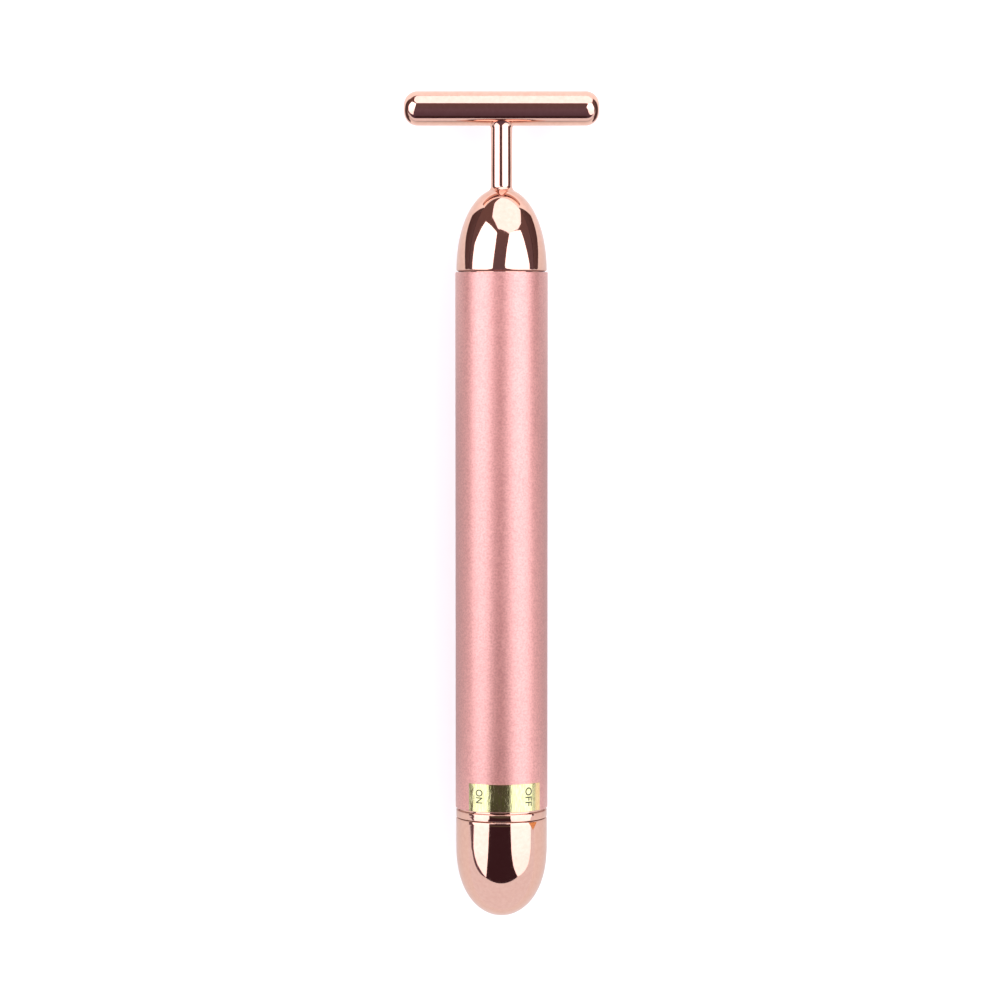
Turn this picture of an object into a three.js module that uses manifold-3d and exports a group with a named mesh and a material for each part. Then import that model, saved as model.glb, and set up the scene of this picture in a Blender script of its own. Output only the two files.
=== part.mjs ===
// A slim battery-powered facial massage bar, lying on a table: T head towards +Y, end cap towards -Y.
// The crossbar lies along X, parallel to the table, and the switch label faces up.
// Lengths are in millimetres. Levels run along the axis from the cap's tip, which is level zero.
import * as THREE from 'three';
import { mergeVertices } from 'three/addons/utils/BufferGeometryUtils.js';
import Module from 'manifold-3d';

// Clearances
const seam = 0.1;
const fitGap = 0.2;
const looseGap = 0.3;
const contactTravelGap = 0.4;
const cutOverrun = 1;

// End cap shell
const capDiameter = 17.2;
const capLength = 18.8;
const capTipLength = 12;
const capWall = 1;
const capRimRound = 0.25;

// Trim ring
const ringLength = 1.4;
const ringRound = 0.45;

// Barrel
const barrelDiameter = 17.4;
const barrelBore = 15;
const barrelRound = 0.35;
const mouthDepth = 2.5;

// Thread between cap and barrel: left-handed, so that turning the arrow from OFF to ON screws in
const threadPitch = 1.5;
const threadDepth = 0.65;
const threadCrestWidth = 0.34;
const threadRootWidth = 0.68;
const threadStart = 0.4;
const threadTurns = 2.5;
const threadRunoutTurns = 0.25;
const grooveExtraTurns = 0.5;

// Cap insert
const insertWall = 1.4;
const insertFloorHeight = 5.3;
const insertFloor = 1.6;
const insertShoulderLength = 0.8;
const neckEndLength = 0.55;

// Battery contact at the cap
const plateThickness = 0.5;
const springWire = 0.8;
const springBaseDiameter = 10;
const springTipDiameter = 5.2;
const springTurns = 5;

// O-rings
const sealWire = 1.2;
const noseSealWire = 0.8;
const sealGap = 0.05;

// Battery cell
const cellDiameter = 14.5;
const cellLength = 50.5;
const nubDiameter = 5.5;
const nubLength = 1;
const cellRound = 0.5;

// Positive contact and its carrier
const contactDiameter = 6.6;
const contactThickness = 0.4;
const contactButtonDiameter = 3;
const contactButtonLength = 0.2;
const carrierRimLength = 0.3;
const carrierThickness = 4.2;
const leadHoleDiameter = 1.6;

// Motor holder
const holderWall = 1;
const holderWebLength = 4;
const holderWebBore = 8;
const holderStopThickness = 1;
const holderStopBore = 5.6;
const holderSplit = 0.2;

// Holder screws
const screwShank = 1;
const screwHead = 2;
const screwHeadLength = 0.8;
const screwLength = 6;
const screwOffset = 5.4;

// Motor case
const motorDiameter = 11;
const motorLength = 18;
const motorWall = 0.6;
const motorBossDiameter = 4.2;
const motorBossLength = 1;
const bellFlangeLength = 0.9;
const bellPlugLength = 1.8;
const sleeveWall = 0.4;
const sleeveLength = 10;
const bushDiameter = 3;
const bushLength = 1.6;
const shaftDiameter = 1.5;
const shaftRunGap = 0.1;

// Motor magnets, armature and commutator
const magnetThickness = 0.85;
const magnetSpan = THREE.MathUtils.degToRad(116);
const airGap = 0.35;
const coreHeadThickness = 0.55;
const coreToothWidth = 1.4;
const coreHubDiameter = 2.8;
const coreSlotWidth = 1.2;
const windingReach = 0.8;
const windingEndGap = 1;
const windingDepth = 0.7;
const windingWidth = 2.6;
const commutatorDiameter = 3.4;
const commutatorLength = 2.8;
const poleCount = 3;

// Brushes
const brushThickness = 0.4;
const brushWidth = 1.2;
const brushOffset = 3.3;
const brushTailLength = 1.8;
const brushPadLength = 1.8;

// Eccentric weight
const weightDiameter = 10.4;
const weightLength = 4.2;
const weightHubDiameter = 3.8;
const shaftEndLength = 0.6;
const shaftEndRoom = 3.3;

// Leads and ground clip
const leadDiameter = 0.7;
const clipThickness = 0.3;
const clipWidth = 1.8;
const clipHeight = 3.4;
const clipInnerReach = 4.6;

// Nose dome
const domeDiameter = 17;
const domeSemiAxis = 16;
const spigotLength = 5.1;
const spigotBore = 12.6;
const spigotGrooveHeight = 2.2;
const nutSeatHeight = 9.3;
const nutSeatDiameter = 8.4;
const noseTaperHeight = 4.3;

// Stem with its nut and washer
const stemDiameter = 4;
const stemReach = 14.85;
const stemTailDiameter = 2.8;
const stemTailLength = 10;
const stemSpigotDiameter = 2.6;
const stemSpigotReach = 0.7;
const washerDiameter = 6.8;
const washerThickness = 0.5;
const nutAcrossFlats = 5.5;
const nutThickness = 2.3;
const nutSides = 6;

// Crossbar
const crossbarDiameter = 6.5;
const crossbarLength = 36.6;
const crossbarRound = 2.6;

// Foil label: angles run from straight up towards +X
const labelThickness = 0.1;
const labelHeight = 5.1;
const labelEdge = 0.2;
const labelStart = THREE.MathUtils.degToRad(-44);
const labelEnd = THREE.MathUtils.degToRad(54.6);

// Facet counts
const outerSides = 20;
const innerSides = 24;
const smallSides = 12;
const threadSteps = 16;
const springSteps = 12;
const wireSides = 6;
const curveSteps = 8;
const filletSteps = 2;

// Radii and levels that follow
const capRadius = capDiameter / 2;
const barrelRadius = barrelDiameter / 2;
const boreRadius = barrelBore / 2;
const grooveRadius = boreRadius + threadDepth;
const ringBottom = capLength + seam;
const ringTop = ringBottom + ringLength;
const barrelBottom = ringTop + contactTravelGap;

const shellBore = capRadius - capWall;
const insertRadius = shellBore - fitGap;
const neckRadius = boreRadius - looseGap;
const neckBore = neckRadius - insertWall;
const shoulderRadius = grooveRadius - looseGap;
const insertBottom = capTipLength + seam;
const cupFloor = insertBottom + insertFloorHeight + insertFloor;
const shoulderBottom = ringTop + seam;
const sealLevel = shoulderBottom + insertShoulderLength;
const neckThreadBottom = barrelBottom + mouthDepth + threadStart;
const neckTop = neckThreadBottom + threadPitch * threadTurns + neckEndLength;
const springBottom = cupFloor + seam + plateThickness + seam;

const cellBottom = neckTop + contactTravelGap;
const cellShoulder = cellBottom + cellLength - nubLength;
const contactBottom = cellBottom + cellLength + contactTravelGap;
const contactTop = contactBottom + contactButtonLength + contactThickness;
const carrierBottom = cellShoulder + contactTravelGap + carrierRimLength;
const carrierTop = contactTop + seam + carrierThickness;
const carrierRadius = boreRadius - fitGap;

const holderBottom = carrierTop + seam;
const holderRadius = carrierRadius;
const holderBore = holderRadius - holderWall;
const motorBottom = holderBottom + holderWebLength + looseGap;
const motorRadius = motorDiameter / 2;
const canBottom = motorBottom + bellFlangeLength + seam;
const canTop = motorBottom + motorLength;
const canBore = motorRadius - motorWall;
const bellPlugTop = canBottom + bellPlugLength;
const bushRadius = bushDiameter / 2;
const bushHole = bushRadius + fitGap;
const shaftRadius = shaftDiameter / 2;
const shaftHole = shaftRadius + fitGap;
const stopBottom = canTop + looseGap;
const stopTop = stopBottom + holderStopThickness;
const bossTop = canTop + motorBossLength;

const commutatorBottom = bellPlugTop + contactTravelGap;
const commutatorTop = commutatorBottom + commutatorLength;
const coreBottom = commutatorTop + looseGap + windingReach;
const coreTop = canTop - motorWall - windingReach - windingEndGap;
const coreLength = coreTop - coreBottom;
const magnetOuter = canBore - fitGap;
const magnetInner = magnetOuter - magnetThickness;
const coreRadius = magnetInner - airGap;
const coreHeadInner = coreRadius - coreHeadThickness;
const windingInner = coreHubDiameter / 2 + fitGap;

const weightBottom = stopTop + contactTravelGap;
const weightTop = weightBottom + weightLength;
const shaftTop = weightTop + shaftEndLength;
const holderTop = shaftTop + shaftEndRoom;
const shaftBottom = motorBottom + seam;

const domeBottom = holderTop + looseGap + spigotLength;
const domeRadius = domeDiameter / 2;
const domeHeight = domeSemiAxis * Math.sqrt(1 - (stemDiameter / domeDiameter) ** 2);
const barrelLength = domeBottom - seam - barrelBottom;
const stemBottom = domeBottom + domeHeight + seam;
const crossbarLevel = stemBottom + stemReach;
const overallLength = crossbarLevel + crossbarDiameter / 2;

const sealCentre = grooveRadius - fitGap - sealWire / 2;
const spigotRadius = boreRadius - fitGap;
const noseSealCentre = boreRadius - seam - noseSealWire / 2;

const wasm = await Module();
wasm.setup();

// A geometry as a solid that can be cut and joined.
function toSolid(geometry) {
  const bare = geometry.clone();
  bare.deleteAttribute('normal');
  bare.deleteAttribute('uv');
  const merged = mergeVertices(bare);
  const triVerts = new Uint32Array(merged.index.array);
  const vertProperties = merged.attributes.position.array;
  return new wasm.Manifold(new wasm.Mesh({ numProp: 3, vertProperties, triVerts }));
}

// A solid back as a geometry with flat faces.
function toGeometry(solid) {
  const mesh = solid.getMesh();
  const geometry = new THREE.BufferGeometry();
  geometry.setAttribute('position', new THREE.BufferAttribute(mesh.vertProperties, mesh.numProp));
  geometry.setIndex(new THREE.BufferAttribute(mesh.triVerts, 1));
  const faceted = geometry.toNonIndexed();
  faceted.computeVertexNormals();
  return faceted;
}

// An outline of [radius, height] pairs turned about the Y axis, with a facet facing straight up.
function turned(outline, sides) {
  const points = outline.map(([radius, height]) => new THREE.Vector2(radius, height));
  return new THREE.LatheGeometry(points, sides, Math.PI / sides);
}

function rod(radius, bottom, top, sides) {
  return turned([[0, bottom], [radius, bottom], [radius, top], [0, top]], sides);
}

function tube(inner, outer, bottom, top, sides) {
  return turned([[inner, bottom], [outer, bottom], [outer, top], [inner, top], [inner, bottom]], sides);
}

// Points of an elliptic arc about a centre, from one angle to another in quarter turns.
function arc([radius, height], across, along, fromQuarter, toQuarter, steps) {
  return Array.from({ length: steps + 1 }, (_, i) => {
    const angle = THREE.MathUtils.lerp(fromQuarter, toQuarter, i / steps) * Math.PI / 2;
    return [radius + across * Math.cos(angle), height + along * Math.sin(angle)];
  });
}

// A part of a ring between two angles, standing along Y. Angles run from +Z towards +X.
function sector(inner, outer, from, to, bottom, top, steps) {
  const rim = (radius, start, end) => Array.from({ length: steps + 1 }, (_, i) => {
    const angle = THREE.MathUtils.lerp(start, end, i / steps);
    return new THREE.Vector2(radius * Math.sin(angle), -radius * Math.cos(angle));
  });
  const shape = new THREE.Shape([...rim(outer, from, to), ...rim(inner, to, from)]);
  const geometry = new THREE.ExtrudeGeometry(shape, { depth: top - bottom, bevelEnabled: false });
  return geometry.rotateX(-Math.PI / 2).translate(0, bottom, 0);
}

// A block between two corners.
function block(low, high) {
  const size = high.map((value, i) => value - low[i]);
  const middle = high.map((value, i) => (value + low[i]) / 2);
  return new THREE.BoxGeometry(...size).translate(...middle);
}

// A convex section carried round the Y axis on a helix. sectionAt(share) gives its [radius, height]
// corners anticlockwise. A left-handed helix turns the other way as it climbs.
function helix(sectionAt, { bottom, pitch, turns, steps, leftHanded }) {
  const count = Math.round(turns * steps);
  const hand = leftHanded ? -1 : 1;
  const positions = [];
  const indices = [];
  let corners = 0;
  for (let i = 0; i <= count; i += 1) {
    const turn = turns * i / count;
    const section = sectionAt(i / count);
    if (leftHanded) section.reverse();
    corners = section.length;
    const angle = hand * turn * 2 * Math.PI;
    for (const [radius, height] of section) {
      positions.push(radius * Math.sin(angle), bottom + pitch * turn + height, radius * Math.cos(angle));
    }
  }
  for (let i = 0; i < count; i += 1) {
    for (let j = 0; j < corners; j += 1) {
      const a = i * corners + j;
      const b = i * corners + (j + 1) % corners;
      indices.push(a, a + corners, b, b + corners, b, a + corners);
    }
  }
  const last = count * corners;
  for (let j = 1; j < corners - 1; j += 1) {
    indices.push(0, j, j + 1, last, last + j + 1, last + j);
  }
  const geometry = new THREE.BufferGeometry();
  geometry.setAttribute('position', new THREE.Float32BufferAttribute(positions, 3));
  geometry.setIndex(indices);
  geometry.computeVertexNormals();
  return geometry;
}

// Cuts the right geometries out of the first one.
function cut(geometry, ...cutters) {
  return toGeometry(cutters.reduce((solid, cutter) => solid.subtract(toSolid(cutter)), toSolid(geometry)));
}

function join(...geometries) {
  return toGeometry(geometries.map(toSolid).reduce((whole, next) => whole.add(next)));
}

const finishes = {
  roseGold: { color: '#e9b7a2', roughness: 0.12, metalness: 1 },
  pinkAnodised: { color: '#e3a7a8', roughness: 0.45, metalness: 0.8 },
  goldFoil: { color: '#d9c98f', roughness: 0.3, metalness: 0.9 },
  steel: { color: '#b9bcc0', roughness: 0.35, metalness: 0.9 },
  brass: { color: '#c9a85a', roughness: 0.3, metalness: 0.9 },
  copper: { color: '#b5683a', roughness: 0.4, metalness: 0.8 },
  ironCore: { color: '#6b6e73', roughness: 0.6, metalness: 0.7 },
  magnet: { color: '#4a4b50', roughness: 0.7, metalness: 0.4 },
  blackRubber: { color: '#1d1d1f', roughness: 0.85, metalness: 0 },
  whitePlastic: { color: '#e8e6e0', roughness: 0.55, metalness: 0 },
  cellWrap: { color: '#5b6a78', roughness: 0.35, metalness: 0 },
  redWire: { color: '#b3242a', roughness: 0.5, metalness: 0 },
  blackWire: { color: '#242424', roughness: 0.5, metalness: 0 },
};

// A named piece whose geometry stands on its own zero level, placed at a level on the axis.
function piece(name, geometry, finish, level) {
  const mesh = new THREE.Mesh(geometry, new THREE.MeshStandardMaterial(finishes[finish]));
  mesh.name = name;
  mesh.position.y = level;
  return mesh;
}

// Domed cap shell: half an ellipse, then straight to its rim, open at the top.
function capShell() {
  const innerTip = capTipLength - capWall;
  const outline = [
    ...arc([0, capTipLength], capRadius, capTipLength, -1, 0, curveSteps),
    ...arc([capRadius - capRimRound, capLength - capRimRound], capRimRound, capRimRound, 0, 1, filletSteps),
    [shellBore, capLength],
    [shellBore, capTipLength],
    ...arc([0, capTipLength], shellBore - capWall, innerTip, 0, -1, curveSteps),
  ];
  return piece('cap_shell', turned(outline, outerSides), 'roseGold', 0);
}

// Narrow ring with rounded edges, clamped between the cap's rim and the insert's shoulder.
function trimRing() {
  const edge = capRadius - ringRound;
  const outline = [
    [shellBore, 0],
    ...arc([edge, ringRound], ringRound, ringRound, -1, 0, filletSteps),
    ...arc([edge, ringLength - ringRound], ringRound, ringRound, 0, 1, filletSteps),
    [shellBore, ringLength],
    [shellBore, 0],
  ];
  return piece('trim_ring', turned(outline, outerSides), 'roseGold', ringBottom);
}

// Section of the thread ridge, faded in and out over its runout.
function ridgeSection(share) {
  const runout = threadRunoutTurns / threadTurns;
  const rise = Math.min(1, share / runout, (1 - share) / runout) * threadDepth;
  const root = neckRadius - threadDepth / 2;
  const half = THREE.MathUtils.lerp(threadRootWidth, threadCrestWidth, rise / threadDepth) / 2;
  const crest = neckRadius + rise;
  return [[root, -threadRootWidth / 2], [crest, -half], [crest, half], [root, threadRootWidth / 2]];
}

// Section that cuts the barrel's groove: the ridge with a gap all round.
function grooveSection() {
  const slope = (threadRootWidth - threadCrestWidth) / 2 / threadDepth;
  const halfAt = (radius) => threadRootWidth / 2 - slope * (radius - neckRadius) + fitGap;
  const inner = boreRadius - threadDepth;
  return [
    [inner, -halfAt(inner)],
    [grooveRadius, -halfAt(grooveRadius)],
    [grooveRadius, halfAt(grooveRadius)],
    [inner, halfAt(inner)],
  ];
}

// Metal insert of the cap: skirt, floor, shoulder over the trim ring, seal groove and threaded neck.
function capInsert() {
  const floorLow = insertFloorHeight;
  const cup = cupFloor - insertBottom;
  const shoulder = shoulderBottom - insertBottom;
  const groove = sealLevel - insertBottom;
  const grooveEnd = groove + sealWire + fitGap;
  const grooveRoot = sealCentre - sealWire / 2 - sealGap;
  const top = neckTop - insertBottom;
  const outline = [
    [0, floorLow],
    [neckBore, floorLow],
    [neckBore, 0],
    [insertRadius, 0],
    [insertRadius, shoulder],
    [shoulderRadius, shoulder],
    [shoulderRadius, groove],
    [grooveRoot, groove],
    [grooveRoot, grooveEnd],
    [neckRadius, grooveEnd],
    [neckRadius, top],
    [neckBore, top],
    [neckBore, cup],
    [0, cup],
  ];
  const ridge = helix(ridgeSection, {
    bottom: neckThreadBottom - insertBottom,
    pitch: threadPitch,
    turns: threadTurns,
    steps: threadSteps,
    leftHanded: true,
  });
  return piece('cap_insert', join(turned(outline, outerSides), ridge), 'brass', insertBottom);
}

function oRing(name, centreRadius, wire, level) {
  const geometry = new THREE.TorusGeometry(centreRadius, wire / 2, wireSides, outerSides);
  return piece(name, geometry.rotateX(Math.PI / 2), 'blackRubber', level + wire / 2);
}

function capSealRing() {
  return oRing('cap_seal_ring', sealCentre, sealWire, sealLevel + fitGap / 2);
}

function capContactPlate() {
  const radius = neckBore - fitGap;
  return piece('cap_contact_plate', rod(radius, 0, plateThickness, innerSides), 'steel', cupFloor + seam);
}

// Conical spring between the contact plate and the cell's flat end.
function capSpring() {
  const height = cellBottom - looseGap - springBottom - springWire;
  const section = (share) => {
    const centre = THREE.MathUtils.lerp(springBaseDiameter, springTipDiameter, share) / 2 - springWire / 2;
    return arc([centre, springWire / 2], springWire / 2, springWire / 2, 0, 4, wireSides).slice(1);
  };
  const coil = helix(section, {
    bottom: 0,
    pitch: height / springTurns,
    turns: springTurns,
    steps: springSteps,
    leftHanded: false,
  });
  return piece('cap_spring', coil, 'steel', springBottom);
}

// AA cell with its flat end towards the cap and its nub towards the motor.
function batteryCell() {
  const radius = cellDiameter / 2;
  const body = cellLength - nubLength;
  const outline = [
    [0, 0],
    ...arc([radius - cellRound, cellRound], cellRound, cellRound, -1, 0, filletSteps),
    ...arc([radius - cellRound, body - cellRound], cellRound, cellRound, 0, 1, filletSteps),
    [nubDiameter / 2, body],
    [nubDiameter / 2, cellLength],
    [0, cellLength],
  ];
  return piece('battery_cell', turned(outline, outerSides), 'cellWrap', cellBottom);
}

// Anodised tube: mouth for the cap's seal, thread groove, long bore for cell and motor.
function barrelTube() {
  const edge = barrelRadius - barrelRound;
  const outline = [
    [grooveRadius, 0],
    ...arc([edge, barrelRound], barrelRound, barrelRound, -1, 0, filletSteps),
    ...arc([edge, barrelLength - barrelRound], barrelRound, barrelRound, 0, 1, filletSteps),
    [boreRadius, barrelLength],
    [boreRadius, mouthDepth],
    [grooveRadius, mouthDepth],
    [grooveRadius, 0],
  ];
  const groove = helix(grooveSection, {
    bottom: neckThreadBottom - threadPitch - barrelBottom,
    pitch: threadPitch,
    turns: 1 + threadTurns + grooveExtraTurns,
    steps: threadSteps,
    leftHanded: true,
  });
  return piece('barrel_tube', cut(turned(outline, outerSides), groove), 'pinkAnodised', barrelBottom);
}

function foilLabel() {
  const inner = barrelRadius + labelThickness / 2;
  const outer = inner + labelThickness;
  const geometry = sector(inner, outer, labelStart, labelEnd, 0, labelHeight, curveSteps + filletSteps);
  return piece('foil_label', geometry, 'goldFoil', barrelBottom + labelEdge);
}

// Insulating disc with a recess for the positive contact and a hole for its lead.
function contactCarrier() {
  const recess = contactDiameter / 2 + fitGap;
  const floor = contactTop + seam - carrierBottom;
  const top = carrierTop - carrierBottom;
  const outline = [
    [recess, 0],
    [carrierRadius, 0],
    [carrierRadius, top],
    [leadHoleDiameter / 2, top],
    [leadHoleDiameter / 2, floor],
    [recess, floor],
    [recess, 0],
  ];
  return piece('contact_carrier', turned(outline, innerSides), 'whitePlastic', carrierBottom);
}

function positiveContact() {
  const outline = [
    [0, 0],
    [contactButtonDiameter / 2, 0],
    [contactButtonDiameter / 2, contactButtonLength],
    [contactDiameter / 2, contactButtonLength],
    [contactDiameter / 2, contactButtonLength + contactThickness],
    [0, contactButtonLength + contactThickness],
  ];
  return piece('positive_contact', turned(outline, innerSides), 'brass', contactBottom);
}

// Screw across the holder's split, with its head towards -X.
function screwOutline(extra) {
  const shank = screwShank / 2 + extra;
  const head = screwHead / 2 + extra;
  const low = -screwLength / 2 - extra;
  const neck = low + screwHeadLength + extra;
  const tip = screwLength / 2 + extra;
  return [[0, low], [head, low], [head, neck], [shank, neck], [shank, tip], [0, tip]];
}

function screwGeometry(extra) {
  return turned(screwOutline(extra), smallSides).rotateZ(-Math.PI / 2);
}

// Way from the holder's side to the screw's head.
function screwAccess() {
  const reach = screwLength / 2;
  return rod(screwHead / 2 + fitGap, reach, reach + holderRadius, smallSides).rotateZ(Math.PI / 2);
}

const screwSides = [1, -1];

function holderScrews() {
  const level = holderBottom + holderWebLength / 2;
  return screwSides.map((side, i) => {
    const screw = piece(`holder_screw_${i + 1}`, screwGeometry(0), 'steel', level);
    screw.position.z = side * screwOffset;
    return screw;
  });
}

// Two half shells round the motor, with a web below it, a stop above it and a chamber for the weight.
function holderHalves() {
  const web = holderWebBore / 2;
  const stop = holderStopBore / 2;
  const level = (value) => value - holderBottom;
  const top = level(holderTop);
  const outline = [
    [web, 0],
    [holderRadius, 0],
    [holderRadius, top],
    [holderBore, top],
    [holderBore, level(stopTop)],
    [stop, level(stopTop)],
    [stop, level(stopBottom)],
    [holderBore, level(stopBottom)],
    [holderBore, holderWebLength],
    [web, holderWebLength],
    [web, 0],
  ];
  const screwHoles = screwSides.flatMap((side) => [screwGeometry(fitGap), screwAccess()].map(
    (cutter) => cutter.translate(0, holderWebLength / 2, side * screwOffset),
  ));
  const clipSlot = block(
    [-holderRadius - cutOverrun, -cutOverrun, -clipWidth / 2 - fitGap],
    [-web + cutOverrun, clipHeight + looseGap, clipWidth / 2 + fitGap],
  );
  const whole = cut(turned(outline, innerSides), clipSlot, ...screwHoles);
  const reach = holderRadius + cutOverrun;
  const far = top + cutOverrun;
  const keepLeft = cut(whole, block([-holderSplit / 2, -cutOverrun, -reach], [reach, far, reach]));
  const keepRight = cut(whole, block([-reach, -cutOverrun, -reach], [holderSplit / 2, far, reach]));
  return [
    piece('holder_left', keepLeft, 'whitePlastic', holderBottom),
    piece('holder_right', keepRight, 'whitePlastic', holderBottom),
  ];
}

// Spring strip from the tube's wall inwards through the holder's slot.
function groundClip() {
  const outer = -boreRadius + fitGap / 2;
  const shape = new THREE.Shape([
    new THREE.Vector2(outer, 0),
    new THREE.Vector2(-clipInnerReach, 0),
    new THREE.Vector2(-clipInnerReach, clipThickness),
    new THREE.Vector2(outer + clipThickness, clipThickness),
    new THREE.Vector2(outer + clipThickness, clipHeight),
    new THREE.Vector2(outer, clipHeight),
  ]);
  const geometry = new THREE.ExtrudeGeometry(shape, { depth: clipWidth, bevelEnabled: false });
  return piece('ground_clip', geometry.translate(0, 0, -clipWidth / 2), 'brass', holderBottom + seam);
}

function motorSleeve() {
  const inner = motorRadius + fitGap;
  const geometry = tube(inner, inner + sleeveWall, 0, sleeveLength, innerSides);
  return piece('motor_sleeve', geometry, 'blackRubber', (canBottom + canTop - sleeveLength) / 2);
}

// Drawn steel can, open towards the end bell, with a boss for the front bush.
function motorCan() {
  const boss = motorBossDiameter / 2;
  const length = canTop - canBottom;
  const outline = [
    [canBore, 0],
    [motorRadius, 0],
    [motorRadius, length],
    [boss, length],
    [boss, length + motorBossLength],
    [bushHole, length + motorBossLength],
    [bushHole, length - motorWall],
    [canBore, length - motorWall],
    [canBore, 0],
  ];
  return piece('motor_can', turned(outline, innerSides), 'steel', canBottom);
}

// Slot for a brush through the end bell, on one side of the shaft.
function brushSlot(side) {
  const low = side * brushOffset - brushThickness / 2 - fitGap;
  const high = side * brushOffset + brushThickness / 2 + fitGap;
  const half = brushWidth / 2 + fitGap;
  return block([low, -cutOverrun, -half], [high, bellPlugTop - motorBottom + cutOverrun, half]);
}

function motorEndBell() {
  const plug = canBore - fitGap;
  const plugTop = bellPlugTop - motorBottom;
  const outline = [
    [bushHole, 0],
    [motorRadius, 0],
    [motorRadius, bellFlangeLength],
    [plug, bellFlangeLength],
    [plug, plugTop],
    [bushHole, plugTop],
    [bushHole, 0],
  ];
  const geometry = cut(turned(outline, innerSides), brushSlot(1), brushSlot(-1));
  return piece('motor_end_bell', geometry, 'whitePlastic', motorBottom);
}

function bushes() {
  const bore = shaftRadius + shaftRunGap;
  const bush = () => tube(bore, bushRadius, 0, bushLength, innerSides);
  return [
    piece('front_bush', bush(), 'brass', bossTop - bushLength),
    piece('rear_bush', bush(), 'brass', bellPlugTop - bushLength),
  ];
}

// Brush strips: solder tail below the end bell, strip through it, arm and pad beside the commutator.
function brushes() {
  const outer = brushOffset + brushThickness / 2;
  const inner = outer - brushThickness;
  const pad = commutatorDiameter / 2 + fitGap;
  const arm = commutatorBottom + looseGap - motorBottom + brushTailLength;
  const outline = [
    [inner, 0],
    [outer, 0],
    [outer, arm + brushThickness],
    [pad + brushThickness, arm + brushThickness],
    [pad + brushThickness, arm + brushPadLength],
    [pad, arm + brushPadLength],
    [pad, arm],
    [inner, arm],
  ];
  const strip = (side) => {
    const shape = new THREE.Shape(outline.map(([x, y]) => new THREE.Vector2(side * x, y)));
    const geometry = new THREE.ExtrudeGeometry(shape, { depth: brushWidth, bevelEnabled: false });
    return geometry.translate(0, 0, -brushWidth / 2);
  };
  const level = motorBottom - brushTailLength;
  return [
    piece('brush_left', strip(-1), 'brass', level),
    piece('brush_right', strip(1), 'brass', level),
  ];
}

function magnets() {
  const arch = (middle) => sector(
    magnetInner, magnetOuter, middle - magnetSpan / 2, middle + magnetSpan / 2, 0, coreLength, curveSteps,
  );
  return [
    piece('magnet_left', arch(-Math.PI / 2), 'magnet', coreBottom),
    piece('magnet_right', arch(Math.PI / 2), 'magnet', coreBottom),
  ];
}

function motorShaft() {
  const length = shaftTop - shaftBottom;
  return piece('motor_shaft', rod(shaftRadius, 0, length, smallSides), 'steel', shaftBottom);
}

// Three-pole armature: hub, teeth and pole heads parted by slots.
function armatureCore() {
  const head = tube(coreHeadInner, coreRadius, 0, coreLength, innerSides);
  const hub = tube(shaftHole, coreHubDiameter / 2, 0, coreLength, innerSides);
  const around = Array.from({ length: poleCount }, (_, i) => 2 * Math.PI * i / poleCount);
  const toothStart = (shaftHole + coreHubDiameter / 2) / 2;
  const toothEnd = (coreHeadInner + coreRadius) / 2;
  const teeth = around.map((angle) => block(
    [-coreToothWidth / 2, 0, toothStart], [coreToothWidth / 2, coreLength, toothEnd],
  ).rotateY(angle));
  const slots = around.map((angle) => block(
    [-coreSlotWidth / 2, -cutOverrun, coreHubDiameter / 2 + fitGap],
    [coreSlotWidth / 2, coreLength + cutOverrun, coreRadius + cutOverrun],
  ).rotateY(angle + Math.PI / poleCount));
  return piece('armature_core', cut(join(head, hub, ...teeth), ...slots), 'ironCore', coreBottom);
}

// One coil round each tooth, as a closed loop longer than the core.
function windings() {
  return Array.from({ length: poleCount }, (_, i) => {
    const half = windingWidth / 2;
    const hole = coreToothWidth / 2 + fitGap;
    const outer = windingInner + windingDepth;
    const loop = cut(
      block([-half, -windingReach, windingInner], [half, coreLength + windingReach, outer]),
      block([-hole, -fitGap, 0], [hole, coreLength + fitGap, coreRadius]),
    );
    const winding = piece(`winding_${i + 1}`, loop, 'copper', coreBottom);
    winding.rotation.y = 2 * Math.PI * i / poleCount;
    return winding;
  });
}

function commutator() {
  const geometry = tube(shaftHole, commutatorDiameter / 2, 0, commutatorLength, innerSides);
  return piece('commutator', geometry, 'copper', commutatorBottom);
}

// Half disc on a hub, hanging below the shaft at rest.
function eccentricWeight() {
  const disc = cut(
    tube(shaftHole, weightDiameter / 2, 0, weightLength, innerSides),
    block([-weightDiameter, -cutOverrun, 0], [weightDiameter, weightLength + cutOverrun, weightDiameter]),
  );
  const hub = tube(shaftHole, weightHubDiameter / 2, 0, weightLength, innerSides);
  return piece('eccentric_weight', join(disc, hub), 'steel', weightBottom);
}

// A round wire along points on the XY plane.
function wire(name, points, finish) {
  const path = new THREE.CatmullRomCurve3(points.map(([x, y]) => new THREE.Vector3(x, y, 0)));
  const radius = leadDiameter / 2;
  const section = new THREE.Shape(Array.from({ length: wireSides }, (_, i) => {
    const angle = 2 * Math.PI * i / wireSides;
    return new THREE.Vector2(radius * Math.cos(angle), radius * Math.sin(angle));
  }));
  const geometry = new THREE.ExtrudeGeometry(section, { steps: curveSteps, extrudePath: path });
  return piece(name, geometry, finish, 0);
}

function leads() {
  const tailBottom = motorBottom - brushTailLength - seam;
  const bend = (holderBottom + tailBottom) / 2;
  const start = contactTop + seam;
  const clipLevel = holderBottom + seam + clipThickness + seam + leadDiameter / 2;
  const positive = [[0, start], [0, holderBottom], [brushOffset / 2, bend], [brushOffset, tailBottom]];
  const negative = [
    [-clipInnerReach - looseGap, clipLevel],
    [-(clipInnerReach + brushOffset) / 2, clipLevel],
    [-brushOffset, tailBottom],
  ];
  return [wire('positive_lead', positive, 'redWire'), wire('negative_lead', negative, 'blackWire')];
}

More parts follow.
